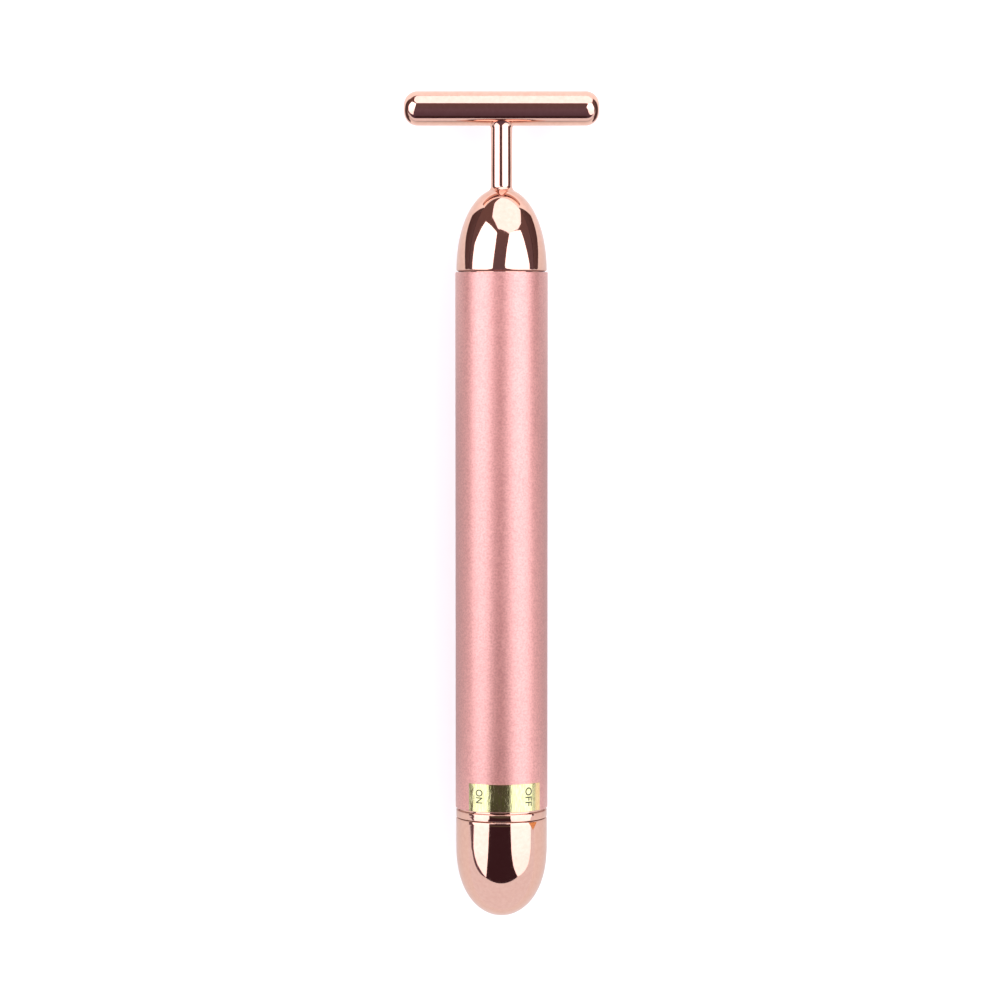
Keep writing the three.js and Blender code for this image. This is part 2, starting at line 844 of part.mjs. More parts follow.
// Bullet-shaped nose: hollow spigot in the tube, elliptic shell, seat for the stem's nut.
function noseDome() {
  const grooveRoot = noseSealCentre - noseSealWire / 2 - sealGap;
  const grooveLow = spigotGrooveHeight - spigotLength;
  const grooveHigh = grooveLow + noseSealWire + fitGap;
  const holeRadius = stemTailDiameter / 2 + fitGap;
  const stemShare = Math.acos(stemDiameter / domeDiameter) / (Math.PI / 2);
  const outline = [
    [spigotBore / 2, -spigotLength],
    [spigotRadius, -spigotLength],
    [spigotRadius, grooveLow],
    [grooveRoot, grooveLow],
    [grooveRoot, grooveHigh],
    [spigotRadius, grooveHigh],
    [spigotRadius, 0],
    ...arc([0, 0], domeRadius, domeSemiAxis, 0, stemShare, curveSteps + filletSteps),
    [holeRadius, domeHeight],
    [holeRadius, nutSeatHeight],
    [nutSeatDiameter / 2, nutSeatHeight],
    [spigotBore / 2, noseTaperHeight],
    [spigotBore / 2, -spigotLength],
  ];
  return piece('nose_dome', turned(outline, outerSides), 'roseGold', domeBottom);
}

function noseSealRing() {
  const level = domeBottom - spigotLength + spigotGrooveHeight + fitGap / 2;
  return oRing('nose_seal_ring', noseSealCentre, noseSealWire, level);
}

// A rod along X, centred on the axis at a height.
function crossRod(radius, length, height, sides) {
  return rod(radius, -length / 2, length / 2, sides).rotateZ(Math.PI / 2).translate(0, height, 0);
}

// Stem: tail through the nose, neck, and a spigot that stands in the crossbar.
function stem() {
  const saddle = crossbarDiameter / 2 + fitGap;
  const neck = cut(
    rod(stemDiameter / 2, 0, stemReach, innerSides),
    crossRod(saddle, crossbarLength, stemReach, outerSides),
  );
  const tail = rod(stemTailDiameter / 2, -stemTailLength, stemTailDiameter, smallSides);
  const spigotTop = stemReach + stemSpigotReach;
  const spigot = rod(stemSpigotDiameter / 2, stemReach - crossbarDiameter, spigotTop, smallSides);
  return piece('stem', join(neck, tail, spigot), 'roseGold', stemBottom);
}

function stemWasher() {
  const hole = stemTailDiameter / 2 + fitGap;
  const geometry = tube(hole, washerDiameter / 2, 0, washerThickness, innerSides);
  return piece('stem_washer', geometry, 'steel', domeBottom + nutSeatHeight - seam - washerThickness);
}

function stemNut() {
  const corner = nutAcrossFlats / Math.sqrt(3);
  const hole = rod(stemTailDiameter / 2 + fitGap, -cutOverrun, nutThickness + cutOverrun, smallSides);
  const geometry = cut(rod(corner, 0, nutThickness, nutSides), hole);
  const level = domeBottom + nutSeatHeight - 2 * seam - washerThickness - nutThickness;
  return piece('stem_nut', geometry, 'steel', level);
}

// Crossbar with rounded ends and a blind hole for the stem's spigot.
function crossbar() {
  const radius = crossbarDiameter / 2;
  const half = crossbarLength / 2;
  const edge = radius - crossbarRound;
  const outline = [
    [0, -half],
    ...arc([edge, crossbarRound - half], crossbarRound, crossbarRound, -1, 0, 2 * filletSteps),
    ...arc([edge, half - crossbarRound], crossbarRound, crossbarRound, 0, 1, 2 * filletSteps),
    [0, half],
  ];
  const holeRadius = stemSpigotDiameter / 2 + fitGap;
  const hole = rod(holeRadius, -radius - cutOverrun, stemSpigotReach + fitGap, smallSides);
  const bar = turned(outline, outerSides).rotateZ(Math.PI / 2);
  return piece('crossbar', cut(bar, hole), 'roseGold', crossbarLevel);
}

// Everything that stays still in the hand
const handle = new THREE.Group();
handle.add(
  barrelTube(), foilLabel(), noseDome(), noseSealRing(), stem(), stemWasher(), stemNut(), crossbar(),
  contactCarrier(), positiveContact(), ...holderHalves(), ...holderScrews(), groundClip(), motorSleeve(),
  motorCan(), motorEndBell(), ...bushes(), ...brushes(), ...magnets(), ...leads(),
);

// The motor's turning pieces
const rotor = new THREE.Group();
rotor.add(motorShaft(), armatureCore(), ...windings(), commutator(), eccentricWeight());

// The cell, which moves along the axis with the cap
const battery = new THREE.Group();
battery.add(batteryCell());

// The end cap, which turns
const cap = new THREE.Group();
cap.add(capShell(), trimRing(), capInsert(), capSealRing(), capContactPlate(), capSpring());

const part = new THREE.Group();
part.add(handle, rotor, battery, cap);
part.position.set(0, -overallLength / 2, barrelRadius * Math.cos(Math.PI / outerSides));

export default part;
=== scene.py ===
import math

import bmesh
import bpy
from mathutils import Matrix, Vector


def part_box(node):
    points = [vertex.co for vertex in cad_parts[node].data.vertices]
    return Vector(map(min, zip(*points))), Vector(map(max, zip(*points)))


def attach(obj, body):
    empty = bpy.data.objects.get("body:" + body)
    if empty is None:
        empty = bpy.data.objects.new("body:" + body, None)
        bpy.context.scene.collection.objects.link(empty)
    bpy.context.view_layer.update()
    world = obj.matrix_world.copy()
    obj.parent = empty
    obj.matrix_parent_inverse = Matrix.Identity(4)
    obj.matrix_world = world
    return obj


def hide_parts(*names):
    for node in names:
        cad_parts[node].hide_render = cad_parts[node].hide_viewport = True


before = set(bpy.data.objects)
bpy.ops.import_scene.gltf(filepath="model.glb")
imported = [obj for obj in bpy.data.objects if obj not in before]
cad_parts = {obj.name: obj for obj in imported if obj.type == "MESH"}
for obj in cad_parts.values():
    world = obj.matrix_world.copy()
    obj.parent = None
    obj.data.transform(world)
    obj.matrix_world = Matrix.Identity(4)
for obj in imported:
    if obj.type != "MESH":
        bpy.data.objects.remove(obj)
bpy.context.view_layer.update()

# Barrel: a drawn aluminium tube, turned at both ends, blasted with fine grit and anodised pink. It is the
# handle and the battery case. The nose dome is pressed into its upper end, and the lower end has a mouth for
# the cap's seal and the thread. Radii and levels are in millimetres, and a level runs along +Y from the tip
# of the cap.
MM = 0.001
CAD_SIDES = 20
CAD_SKIN = 0.02
TIP_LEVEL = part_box("cap_shell")[0].y / MM
AXIS_HEIGHT = sum(corner.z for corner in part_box("barrel_tube")) / 2 / MM


def turned_size(node):
    """Radius, bottom and top of a turned CAD piece; its flat sides have their corners on the true radius."""
    low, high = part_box(node)
    radius = (high.x - low.x) / 2 / math.cos(math.pi / CAD_SIDES) / MM
    return radius, low.y / MM - TIP_LEVEL, high.y / MM - TIP_LEVEL


def round_corner(radius, level, across, along, start, end, steps=10):
    """Points on an elliptic arc about (radius, level), between two angles in degrees."""
    points = []
    for i in range(steps + 1):
        angle = math.radians(start + (end - start) * i / steps)
        points.append((radius + across * math.cos(angle), level + along * math.sin(angle)))
    return points


def round_axis(degrees, radius, level):
    """A point in metres, at an angle from straight up towards +X."""
    angle = math.radians(degrees)
    x = radius * math.sin(angle) * MM
    return x, (level + TIP_LEVEL) * MM, (AXIS_HEIGHT + radius * math.cos(angle)) * MM


def skin(bm, rows, sides):
    """Faces between rings of points; a ring of one point is a pole."""
    for lower, upper in zip(rows, rows[1:]):
        for i in range(sides):
            j = (i + 1) % sides
            ends = (lower, i), (lower, j), (upper, j), (upper, i)
            corners = list(dict.fromkeys(row[k % len(row)] for row, k in ends))
            if len(corners) > 2:
                bm.faces.new(corners)
    bmesh.ops.recalc_face_normals(bm, faces=bm.faces)


def finished_mesh(name, bm):
    """The mesh of a modelled piece."""
    mesh = bpy.data.meshes.new(name)
    bm.to_mesh(mesh)
    bm.free()
    return mesh


def add_piece(name, mesh, body, node, slot, *materials, sharp_degrees=32):
    """Puts a mesh in the scene on a body and in place of a CAD node. It is smooth except at its sharp edges,
    and its large faces keep their true direction, so that reflections run straight to their edges."""
    mesh.shade_smooth()
    mesh.set_sharp_from_angle(angle=math.radians(sharp_degrees))
    made = bpy.data.objects.new(name, mesh)
    bpy.context.collection.objects.link(made)
    made.modifiers.new("true faces", "WEIGHTED_NORMAL").keep_sharp = True
    for material in materials:
        mesh.materials.append(material)
    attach(made, body)
    if node:
        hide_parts(node)
    return made


def turned_mesh(name, outline, closed=False, sides=192):
    """A part turned on a lathe: its outline of (radius, level) pairs goes round the bar's axis."""
    bm = bmesh.new()
    rows = []
    for radius, level in outline:
        around = sides if radius > 0 else 1
        rows.append([bm.verts.new(round_axis(360 * i / around, radius, level)) for i in range(around)])
    skin(bm, rows + rows[:1] if closed else rows, sides)
    return finished_mesh(name, bm)


def to_linear(hex_colour):
    """An sRGB hex colour such as E8B8A4 as linear red, green, blue and alpha."""
    channels = [int(hex_colour[i : i + 2], 16) / 255 for i in (0, 2, 4)]
    linear = [c / 12.92 if c <= 0.04045 else ((c + 0.055) / 1.055) ** 2.4 for c in channels]
    return (*linear, 1.0)


def new_material(name):
    """An empty node material with its surface shader and its output."""
    material = bpy.data.materials.new(name)
    material.use_nodes = True
    return material


def add_node(material, kind, settings=None, **links):
    """Adds a node and links the sockets given by name. Settings are properties, input values, or the stops of
    a colour ramp."""
    node = material.node_tree.nodes.new(kind)
    for key, value in (settings or {}).items():
        if key == "stops":
            elements = node.color_ramp.elements
            while len(elements) < len(value):
                elements.new(0.5)
            for element, (position, colour) in zip(elements, value):
                element.position = position
                element.color = to_linear(colour)
        elif hasattr(node, key):
            setattr(node, key, value)
        else:
            node.inputs[key].default_value = value
    for key, source in links.items():
        material.node_tree.links.new(source, node.inputs[key.replace("_", " ")])
    return node


def finish_with(material, **values):
    """Sets or links the inputs of the material's surface shader."""
    shader = material.node_tree.nodes["Principled BSDF"]
    for key, value in values.items():
        socket = shader.inputs[key.replace("_", " ")]
        if isinstance(value, bpy.types.NodeSocket):
            material.node_tree.links.new(value, socket)
        else:
            socket.default_value = value


# Anodised aluminium over a blasted surface: a satin metal with a dyed, clear oxide layer, whose colour is
# deep where little light falls and pale in the highlights. The grit leaves dents about 0.1 mm wide, drawn
# 0.35 mm wide here, so that the sparkle shows at this distance.
pink_anodised = new_material("pink anodised aluminium, blasted")
grit_mm, dye_mm = 0.35, 2.6
place = add_node(pink_anodised, "ShaderNodeTexCoord").outputs["Object"]
grit = add_node(
    pink_anodised, "ShaderNodeTexNoise", {"Scale": 1 / (grit_mm * MM)}, Vector=place
).outputs["Fac"]
dye = add_node(pink_anodised, "ShaderNodeTexNoise", {"Scale": 1 / (dye_mm * MM)}, Vector=place).outputs["Fac"]
dye_stops = [(0.34, "D88F86"), (0.5, "E39D93"), (0.66, "EDABA1")]
tint = add_node(pink_anodised, "ShaderNodeValToRGB", {"stops": dye_stops}, Fac=grit)
satin = add_node(
    pink_anodised,
    "ShaderNodeMapRange",
    {"From Min": 0.3, "From Max": 0.7, "To Min": 0.48, "To Max": 0.52},
    Value=dye,
)
dents = add_node(pink_anodised, "ShaderNodeBump", {"Distance": 0.05 * MM, "Strength": 0.5}, Height=grit)
finish_with(
    pink_anodised,
    Base_Color=tint.outputs["Color"],
    Metallic=1.0,
    Roughness=satin.outputs["Result"],
    Coat_Weight=1.0,
    Coat_IOR=1.9,
    Coat_Roughness=0.34,
    Normal=dents.outputs["Normal"],
)

barrel_radius, barrel_bottom, barrel_top = turned_size("barrel_tube")
barrel_radius -= CAD_SKIN
BARREL_ROUND = 0.12
BARREL_BORE = 7.5
THREAD_ROOT_RADIUS = 8.15
THREAD_TOP = 29.0
MOUTH_RADIUS = 8.12
MOUTH_DEPTH = 2.5

rounded = barrel_radius - BARREL_ROUND
barrel_outline = [
    *round_corner(rounded, barrel_bottom + BARREL_ROUND, BARREL_ROUND, BARREL_ROUND, -90, 0),
    *round_corner(rounded, barrel_top - BARREL_ROUND, BARREL_ROUND, BARREL_ROUND, 0, 90),
    (BARREL_BORE, barrel_top),
    (BARREL_BORE, THREAD_TOP),
    (THREAD_ROOT_RADIUS, THREAD_TOP),
    (THREAD_ROOT_RADIUS, barrel_bottom + MOUTH_DEPTH),
    (MOUTH_RADIUS, barrel_bottom + MOUTH_DEPTH),
    (MOUTH_RADIUS, barrel_bottom),
]
barrel_mesh = turned_mesh("barrel", barrel_outline, closed=True)
add_piece("barrel", barrel_mesh, "handle", "barrel_tube", "pink_anodised", pink_anodised)

# Switch label: satin gold foil on thin film, stuck round the lower end of the barrel. Its two marks are
# printed on it in dark olive ink and read along the barrel.
LABEL_THICKNESS = 0.11
LABEL_SINK = 0.05
LABEL_BOTTOM = 20.82
LABEL_TOP = 26.0
LABEL_START = -44.0
LABEL_END = 54.6


def foil_mesh(name, start, end, bottom, top, inner, outer, steps=96):
    """A thin sheet wrapped round the barrel."""
    bm = bmesh.new()
    rows = []
    for i in range(steps + 1):
        degrees = start + (end - start) * i / steps
        corners = ((inner, bottom), (outer, bottom), (outer, top), (inner, top))
        rows.append([bm.verts.new(round_axis(degrees, radius, level)) for radius, level in corners])
    for left, right in zip(rows, rows[1:]):
        for i in range(4):
            j = (i + 1) % 4
            bm.faces.new([left[i], left[j], right[j], right[i]])
    bm.faces.new(rows[0])
    bm.faces.new(rows[-1])
    bmesh.ops.recalc_face_normals(bm, faces=bm.faces)
    return finished_mesh(name, bm)


# Gold foil on film: bright metal leaf with a fine crumple, drawn out along the bar by the way it was rubbed
# on. The crumple speckles and streaks its dark reflections. Towards its right end, where the barrel curves
# away, a warmer gold is painted in as a painted warm reflection.
gold_foil = new_material("gold foil on film")
crumple_mm, streak_share = 0.25, 0.2
place = add_node(gold_foil, "ShaderNodeTexCoord").outputs["Object"]
drawn = add_node(gold_foil, "ShaderNodeVectorMath", {"operation": "MULTIPLY"})
drawn.inputs[1].default_value = (1, streak_share, 1)
gold_foil.node_tree.links.new(place, drawn.inputs[0])
leaf = add_node(
    gold_foil, "ShaderNodeTexNoise", {"Scale": 1 / (crumple_mm * MM)}, Vector=drawn.outputs["Vector"]
).outputs["Fac"]
pale = add_node(gold_foil, "ShaderNodeValToRGB", {"stops": [(0.3, "CCC886"), (0.7, "E8E1AE")]}, Fac=leaf)
# Painted reflection: a warmer gold, blended in from 6.1 mm to 6.6 mm towards +X where the barrel curves away,
# stands in for a warm reflection there.
painted_warm_reflection = add_node(gold_foil, "ShaderNodeValToRGB", {"stops": [(0.3, "F5CC8E"), (0.7, "FFE6B0")]}, Fac=leaf)
sideways = add_node(gold_foil, "ShaderNodeSeparateXYZ", Vector=place).outputs["X"]
reflection_from, reflection_to = 6.1, 6.6
warm_reflection_share = add_node(
    gold_foil,
    "ShaderNodeMapRange",
    {"From Min": reflection_from * MM, "From Max": reflection_to * MM},
    Value=sideways,
).outputs["Result"]
tint = add_node(
    gold_foil,
    "ShaderNodeMix",
    {"data_type": "RGBA"},
    Factor=warm_reflection_share,
    A=pale.outputs["Color"],
    B=painted_warm_reflection.outputs["Color"],
)
gloss = add_node(
    gold_foil,
    "ShaderNodeMapRange",
    {"From Min": 0.3, "From Max": 0.7, "To Min": 0.08, "To Max": 0.24},
    Value=leaf,
)
crumple = add_node(gold_foil, "ShaderNodeBump", {"Distance": 0.02 * MM, "Strength": 0.8}, Height=leaf)
finish_with(
    gold_foil,
    Base_Color=tint.outputs["Result"],
    Metallic=1.0,
    Roughness=gloss.outputs["Result"],
    Normal=crumple.outputs["Normal"],
)

label_radius = barrel_radius + LABEL_THICKNESS
label_mesh = foil_mesh(
    "switch_label", LABEL_START, LABEL_END, LABEL_BOTTOM, LABEL_TOP, barrel_radius - LABEL_SINK, label_radius
)
add_piece("switch_label", label_mesh, "handle", "foil_label", "gold_foil", gold_foil)

# Screen-printing ink: a flat dark film, slightly uneven in the mesh's pattern.
printed_ink = new_material("dark olive printing ink")
screen_mm = 0.2
place = add_node(printed_ink, "ShaderNodeTexCoord").outputs["Object"]
film = add_node(
    printed_ink, "ShaderNodeTexNoise", {"Scale": 1 / (screen_mm * MM)}, Vector=place
).outputs["Fac"]
tint = add_node(printed_ink, "ShaderNodeValToRGB", {"stops": [(0.3, "3F412B"), (0.7, "585A3E")]}, Fac=film)
finish_with(printed_ink, Base_Color=tint.outputs["Color"], Roughness=0.55)

MARK_HEIGHT = 1.45
MARK_STROKE = 0.012
MARK_SLICES = 16
INK_THICKNESS = 0.02


def printed_word(name, word, middle_degrees, middle_level, length):
    """A word printed on the label. It reads towards the cap, with the tops of its letters towards +X."""
    letters = bpy.data.curves.new(name, "FONT")
    letters.body = word
    letters.offset = MARK_STROKE
    typeset = bpy.data.objects.new(name + "_type", letters)
    bpy.context.collection.objects.link(typeset)
    flat = bpy.data.meshes.new_from_object(typeset.evaluated_get(bpy.context.evaluated_depsgraph_get()))
    bpy.data.objects.remove(typeset)
    bpy.data.curves.remove(letters)
    bm = bmesh.new()
    bm.from_mesh(flat)
    bpy.data.meshes.remove(flat)
    left, right = (end(v.co.x for v in bm.verts) for end in (min, max))
    foot, top = (end(v.co.y for v in bm.verts) for end in (min, max))
    for i in range(1, MARK_SLICES):
        cut = Vector((0, foot + (top - foot) * i / MARK_SLICES, 0))
        whole = [*bm.verts, *bm.edges, *bm.faces]
        bmesh.ops.bisect_plane(bm, geom=whole, plane_co=cut, plane_no=(0, 1, 0))
    radius = label_radius + INK_THICKNESS
    for v in bm.verts:
        level = middle_level - (v.co.x - (left + right) / 2) * length / (right - left)
        lean = math.degrees((v.co.y - (foot + top) / 2) * MARK_HEIGHT / (top - foot) / radius)
        v.co = round_axis(middle_degrees + lean, radius, level)
    bmesh.ops.recalc_face_normals(bm, faces=bm.faces)
    add_piece(name, finished_mesh(name, bm), "handle", None, "gold_foil", printed_ink)


printed_word("mark_on", "ON", middle_degrees=-28.6, middle_level=23.7, length=2.6)
printed_word("mark_off", "OFF", middle_degrees=35.3, middle_level=23.6, length=3.5)

# Battery contact: a moulded ABS carrier, pushed into the bore above the cell, with a pressed brass button
# that the cell's nub presses on. The motor's half shells follow it, held together by two screws.
moulded_abs = new_material("white ABS, moulded")
flow_mm = 0.8
place = add_node(moulded_abs, "ShaderNodeTexCoord").outputs["Object"]
flow = add_node(moulded_abs, "ShaderNodeTexNoise", {"Scale": 1 / (flow_mm * MM)}, Vector=place).outputs["Fac"]
tint = add_node(moulded_abs, "ShaderNodeValToRGB", {"stops": [(0.3, "E4E1D9"), (0.7, "EEECE6")]}, Fac=flow)
mould_face = add_node(moulded_abs, "ShaderNodeBump", {"Distance": 0.02 * MM, "Strength": 0.3}, Height=flow)
finish_with(
    moulded_abs,
    Base_Color=tint.outputs["Color"],
    Roughness=0.42,
    IOR=1.53,
    Normal=mould_face.outputs["Normal"],
)

# Rolled brass: a yellow metal, dulled in small patches by handling.
rolled_brass = new_material("brass, rolled")
patch_mm = 0.7
place = add_node(rolled_brass, "ShaderNodeTexCoord").outputs["Object"]
patch = add_node(
    rolled_brass, "ShaderNodeTexNoise", {"Scale": 1 / (patch_mm * MM), "Detail": 4}, Vector=place
).outputs["Fac"]
tint = add_node(rolled_brass, "ShaderNodeValToRGB", {"stops": [(0.3, "CBAE62"), (0.7, "DFC680")]}, Fac=patch)
dull = add_node(
    rolled_brass,
    "ShaderNodeMapRange",
    {"From Min": 0.3, "From Max": 0.7, "To Min": 0.2, "To Max": 0.34},
    Value=patch,
)
finish_with(rolled_brass, Base_Color=tint.outputs["Color"], Metallic=1.0, Roughness=dull.outputs["Result"])

# Nickel-plated steel: a neutral grey metal with the fine lines that turning and drawing leave.
nickel_steel = new_material("steel, nickel plated")
line_mm, line_share = 0.1, 0.1
place = add_node(nickel_steel, "ShaderNodeTexCoord").outputs["Object"]
drawn = add_node(nickel_steel, "ShaderNodeVectorMath", {"operation": "MULTIPLY"})
drawn.inputs[1].default_value = (line_share, 1, line_share)
nickel_steel.node_tree.links.new(place, drawn.inputs[0])
lines = add_node(
    nickel_steel, "ShaderNodeTexNoise", {"Scale": 1 / (line_mm * MM)}, Vector=drawn.outputs["Vector"]
).outputs["Fac"]
tint = add_node(nickel_steel, "ShaderNodeValToRGB", {"stops": [(0.3, "BDBDBA"), (0.7, "CDCDCB")]}, Fac=lines)
brushed = add_node(
    nickel_steel,
    "ShaderNodeMapRange",
    {"From Min": 0.3, "From Max": 0.7, "To Min": 0.24, "To Max": 0.36},
    Value=lines,
)
finish_with(nickel_steel, Base_Color=tint.outputs["Color"], Metallic=1.0, Roughness=brushed.outputs["Result"])


def finish_nodes(material, *nodes):
    """Gives CAD pieces, which keep their shape, their finish."""
    for node in nodes:
        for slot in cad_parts[node].material_slots:
            slot.material = material


finish_nodes(moulded_abs, "contact_carrier", "holder_left", "holder_right")
finish_nodes(rolled_brass, "positive_contact", "ground_clip")
finish_nodes(nickel_steel, "holder_screw_1", "holder_screw_2")

# Motor: a drawn steel can with two ferrite magnets, bronze bushes and a moulded end bell that holds the
# brushes. A rubber sleeve round the can keeps it tight in the half shells.
nitrile_rubber = new_material("black nitrile rubber")
bloom_mm = 0.3
place = add_node(nitrile_rubber, "ShaderNodeTexCoord").outputs["Object"]
bloom = add_node(
    nitrile_rubber, "ShaderNodeTexNoise", {"Scale": 1 / (bloom_mm * MM)}, Vector=place
).outputs["Fac"]
bloom_stops = [(0.3, "18181A"), (0.7, "242427")]
tint = add_node(nitrile_rubber, "ShaderNodeValToRGB", {"stops": bloom_stops}, Fac=bloom)
pores = add_node(nitrile_rubber, "ShaderNodeBump", {"Distance": 0.02 * MM, "Strength": 0.5}, Height=bloom)
finish_with(
    nitrile_rubber, Base_Color=tint.outputs["Color"], Roughness=0.6, IOR=1.52, Normal=pores.outputs["Normal"]
)

# Sintered ferrite: a matt dark grey ceramic with visible grains.
sintered_ferrite = new_material("sintered ferrite")
grain_mm = 0.15
place = add_node(sintered_ferrite, "ShaderNodeTexCoord").outputs["Object"]
grain = add_node(
    sintered_ferrite, "ShaderNodeTexVoronoi", {"Scale": 1 / (grain_mm * MM)}, Vector=place
).outputs["Distance"]
grain_stops = [(0.1, "2B2B2E"), (0.8, "46464A")]
tint = add_node(sintered_ferrite, "ShaderNodeValToRGB", {"stops": grain_stops}, Fac=grain)
finish_with(sintered_ferrite, Base_Color=tint.outputs["Color"], Roughness=0.75)

finish_nodes(nickel_steel, "motor_can")
finish_nodes(moulded_abs, "motor_end_bell")
finish_nodes(nitrile_rubber, "motor_sleeve")
finish_nodes(sintered_ferrite, "magnet_left", "magnet_right")
finish_nodes(rolled_brass, "front_bush", "rear_bush", "brush_left", "brush_right")

# Rotor: a ground steel shaft with a stacked core of three poles, a coil of enamelled wire round each, a
# copper commutator, and an eccentric weight that makes the bar vibrate.

# Electrical steel: thin sheets, stacked on the shaft, whose edges show as fine bands. A wave texture of
# scale 1 has its bands pi / 10 apart.
core_sheets = new_material("electrical steel sheets, stacked")
sheet_mm = 0.35
WAVE_SPACING = math.pi / 10
place = add_node(core_sheets, "ShaderNodeTexCoord").outputs["Object"]
sheets = add_node(
    core_sheets,
    "ShaderNodeTexWave",
    {"bands_direction": "Y", "Scale": WAVE_SPACING / (sheet_mm * MM)},
    Vector=place,
).outputs["Fac"]
tint = add_node(core_sheets, "ShaderNodeValToRGB", {"stops": [(0.2, "55565A"), (0.6, "808288")]}, Fac=sheets)
edges = add_node(core_sheets, "ShaderNodeBump", {"Distance": 0.03 * MM, "Strength": 0.6}, Height=sheets)
finish_with(
    core_sheets,
    Base_Color=tint.outputs["Color"],
    Metallic=1.0,
    Roughness=0.45,
    Normal=edges.outputs["Normal"],
)

# Enamelled copper wire: orange-brown metal under clear varnish, laid in turns side by side. The turns run
# along the shaft, so their bands follow the distance across it. Its colour is painted darker in the creases
# between turns and paler on their crowns: painted shade and highlight.
enamelled_wire = new_material("copper wire, enamelled")
wire_mm = 0.22
place = add_node(enamelled_wire, "ShaderNodeTexCoord").outputs["Object"]
turns = add_node(
    enamelled_wire,
    "ShaderNodeTexWave",
    {"bands_direction": "DIAGONAL", "Scale": WAVE_SPACING / (wire_mm * MM)},
    Vector=place,
).outputs["Fac"]
# Painted shade and highlight: dark brown in the creases between turns, bright copper on their crowns.
turn_shade_stops = [(0.15, "6E3218"), (0.6, "C06A3A")]
tint = add_node(enamelled_wire, "ShaderNodeValToRGB", {"stops": turn_shade_stops}, Fac=turns)
rounds = add_node(enamelled_wire, "ShaderNodeBump", {"Distance": 0.08 * MM, "Strength": 0.8}, Height=turns)
finish_with(
    enamelled_wire,
    Base_Color=tint.outputs["Color"],
    Metallic=1.0,
    Roughness=0.3,
    Coat_Weight=1.0,
    Coat_Roughness=0.1,
    Normal=rounds.outputs["Normal"],
)

# Hard-drawn copper: the commutator's segments, worn bright and lined where the brushes run.
drawn_copper = new_material("copper, hard drawn")
track_mm = 0.25
place = add_node(drawn_copper, "ShaderNodeTexCoord").outputs["Object"]
track = add_node(
    drawn_copper,
    "ShaderNodeTexWave",
    {"bands_direction": "Y", "Scale": WAVE_SPACING / (track_mm * MM), "Distortion": 1.5},
    Vector=place,
).outputs["Fac"]
tint = add_node(drawn_copper, "ShaderNodeValToRGB", {"stops": [(0.2, "A5623F"), (0.7, "D08C66")]}, Fac=track)
finish_with(drawn_copper, Base_Color=tint.outputs["Color"], Metallic=1.0, Roughness=0.28)

finish_nodes(nickel_steel, "motor_shaft", "eccentric_weight")
finish_nodes(core_sheets, "armature_core")
finish_nodes(enamelled_wire, "winding_1", "winding_2", "winding_3")
finish_nodes(drawn_copper, "commutator")


def extruded_pvc(name, dark, light):
    """PVC insulation, extruded over stranded wire: a soft gloss, a little uneven along the lead."""
    material = new_material(name)
    swell_mm = 0.6
    place = add_node(material, "ShaderNodeTexCoord").outputs["Object"]
    swell = add_node(
        material, "ShaderNodeTexNoise", {"Scale": 1 / (swell_mm * MM)}, Vector=place
    ).outputs["Fac"]
    tint = add_node(material, "ShaderNodeValToRGB", {"stops": [(0.3, dark), (0.7, light)]}, Fac=swell)
    lumps = add_node(material, "ShaderNodeBump", {"Distance": 0.03 * MM, "Strength": 0.4}, Height=swell)
    finish_with(
        material, Base_Color=tint.outputs["Color"], Roughness=0.36, IOR=1.54, Normal=lumps.outputs["Normal"]
    )
    return material


# Leads: two short wires that join the contact and the earth clip to the brushes' tails.
finish_nodes(extruded_pvc("red PVC insulation", "A61C22", "BD2A30"), "positive_lead")
finish_nodes(extruded_pvc("black PVC insulation", "1E1E1F", "2A2A2B"), "negative_lead")

# Nose dome: a bullet-shaped shell, turned from brass and plated in rose gold. It closes the barrel's upper
# end. Its spigot is pressed into the bore, over an O-ring that keeps water out.
DOME_SEAM = 0.1
DOME_LENGTH = 15.7
DOME_FULLNESS = 2.1
DOME_GROOVE = 0.16
DOME_EDGE_DEPTH = 0.12
DOME_EDGE_HEIGHT = 0.35
DOME_WALL = 1.2
SPIGOT_RADIUS = 7.3
SPIGOT_BORE = 6.3
NOSE_SEAL_WIRE = 0.8
RING_GROOVE_SPARE = 0.05
RING_GROOVE_DEPTH_SHARE = 0.8
STEM_RADIUS = 2.0
STEM_FLARE = 0.55
STEM_HOLE_SPARE = 0.05
DOME_STEPS = 120
FACE_MARGIN = 0.01

# Rose-gold plating on polished brass: a mirror with a warm pink metal colour. Polishing leaves a slight
# waviness a few millimetres long, and handling leaves a haze that only softens the highlights.
rose_gold = new_material("rose gold plating, polished")
wave_mm, haze_mm = 5.0, 0.8
place = add_node(rose_gold, "ShaderNodeTexCoord").outputs["Object"]
waves = add_node(
    rose_gold, "ShaderNodeTexNoise", {"Scale": 1 / (wave_mm * MM), "Detail": 0}, Vector=place
).outputs["Fac"]
haze = add_node(
    rose_gold, "ShaderNodeTexNoise", {"Scale": 1 / (haze_mm * MM), "Detail": 4}, Vector=place
).outputs["Fac"]
tint = add_node(rose_gold, "ShaderNodeValToRGB", {"stops": [(0.3, "E6B5A2"), (0.7, "EBBDAA")]}, Fac=haze)
softened = add_node(
    rose_gold,
    "ShaderNodeMapRange",
    {"From Min": 0.3, "From Max": 0.7, "To Min": 0.035, "To Max": 0.07},
    Value=haze,
)
polish = add_node(rose_gold, "ShaderNodeBump", {"Distance": 0.02 * MM, "Strength": 0.15}, Height=waves)
finish_with(
    rose_gold,
    Base_Color=tint.outputs["Color"],
    Metallic=1.0,
    Roughness=softened.outputs["Result"],
    Normal=polish.outputs["Normal"],
)
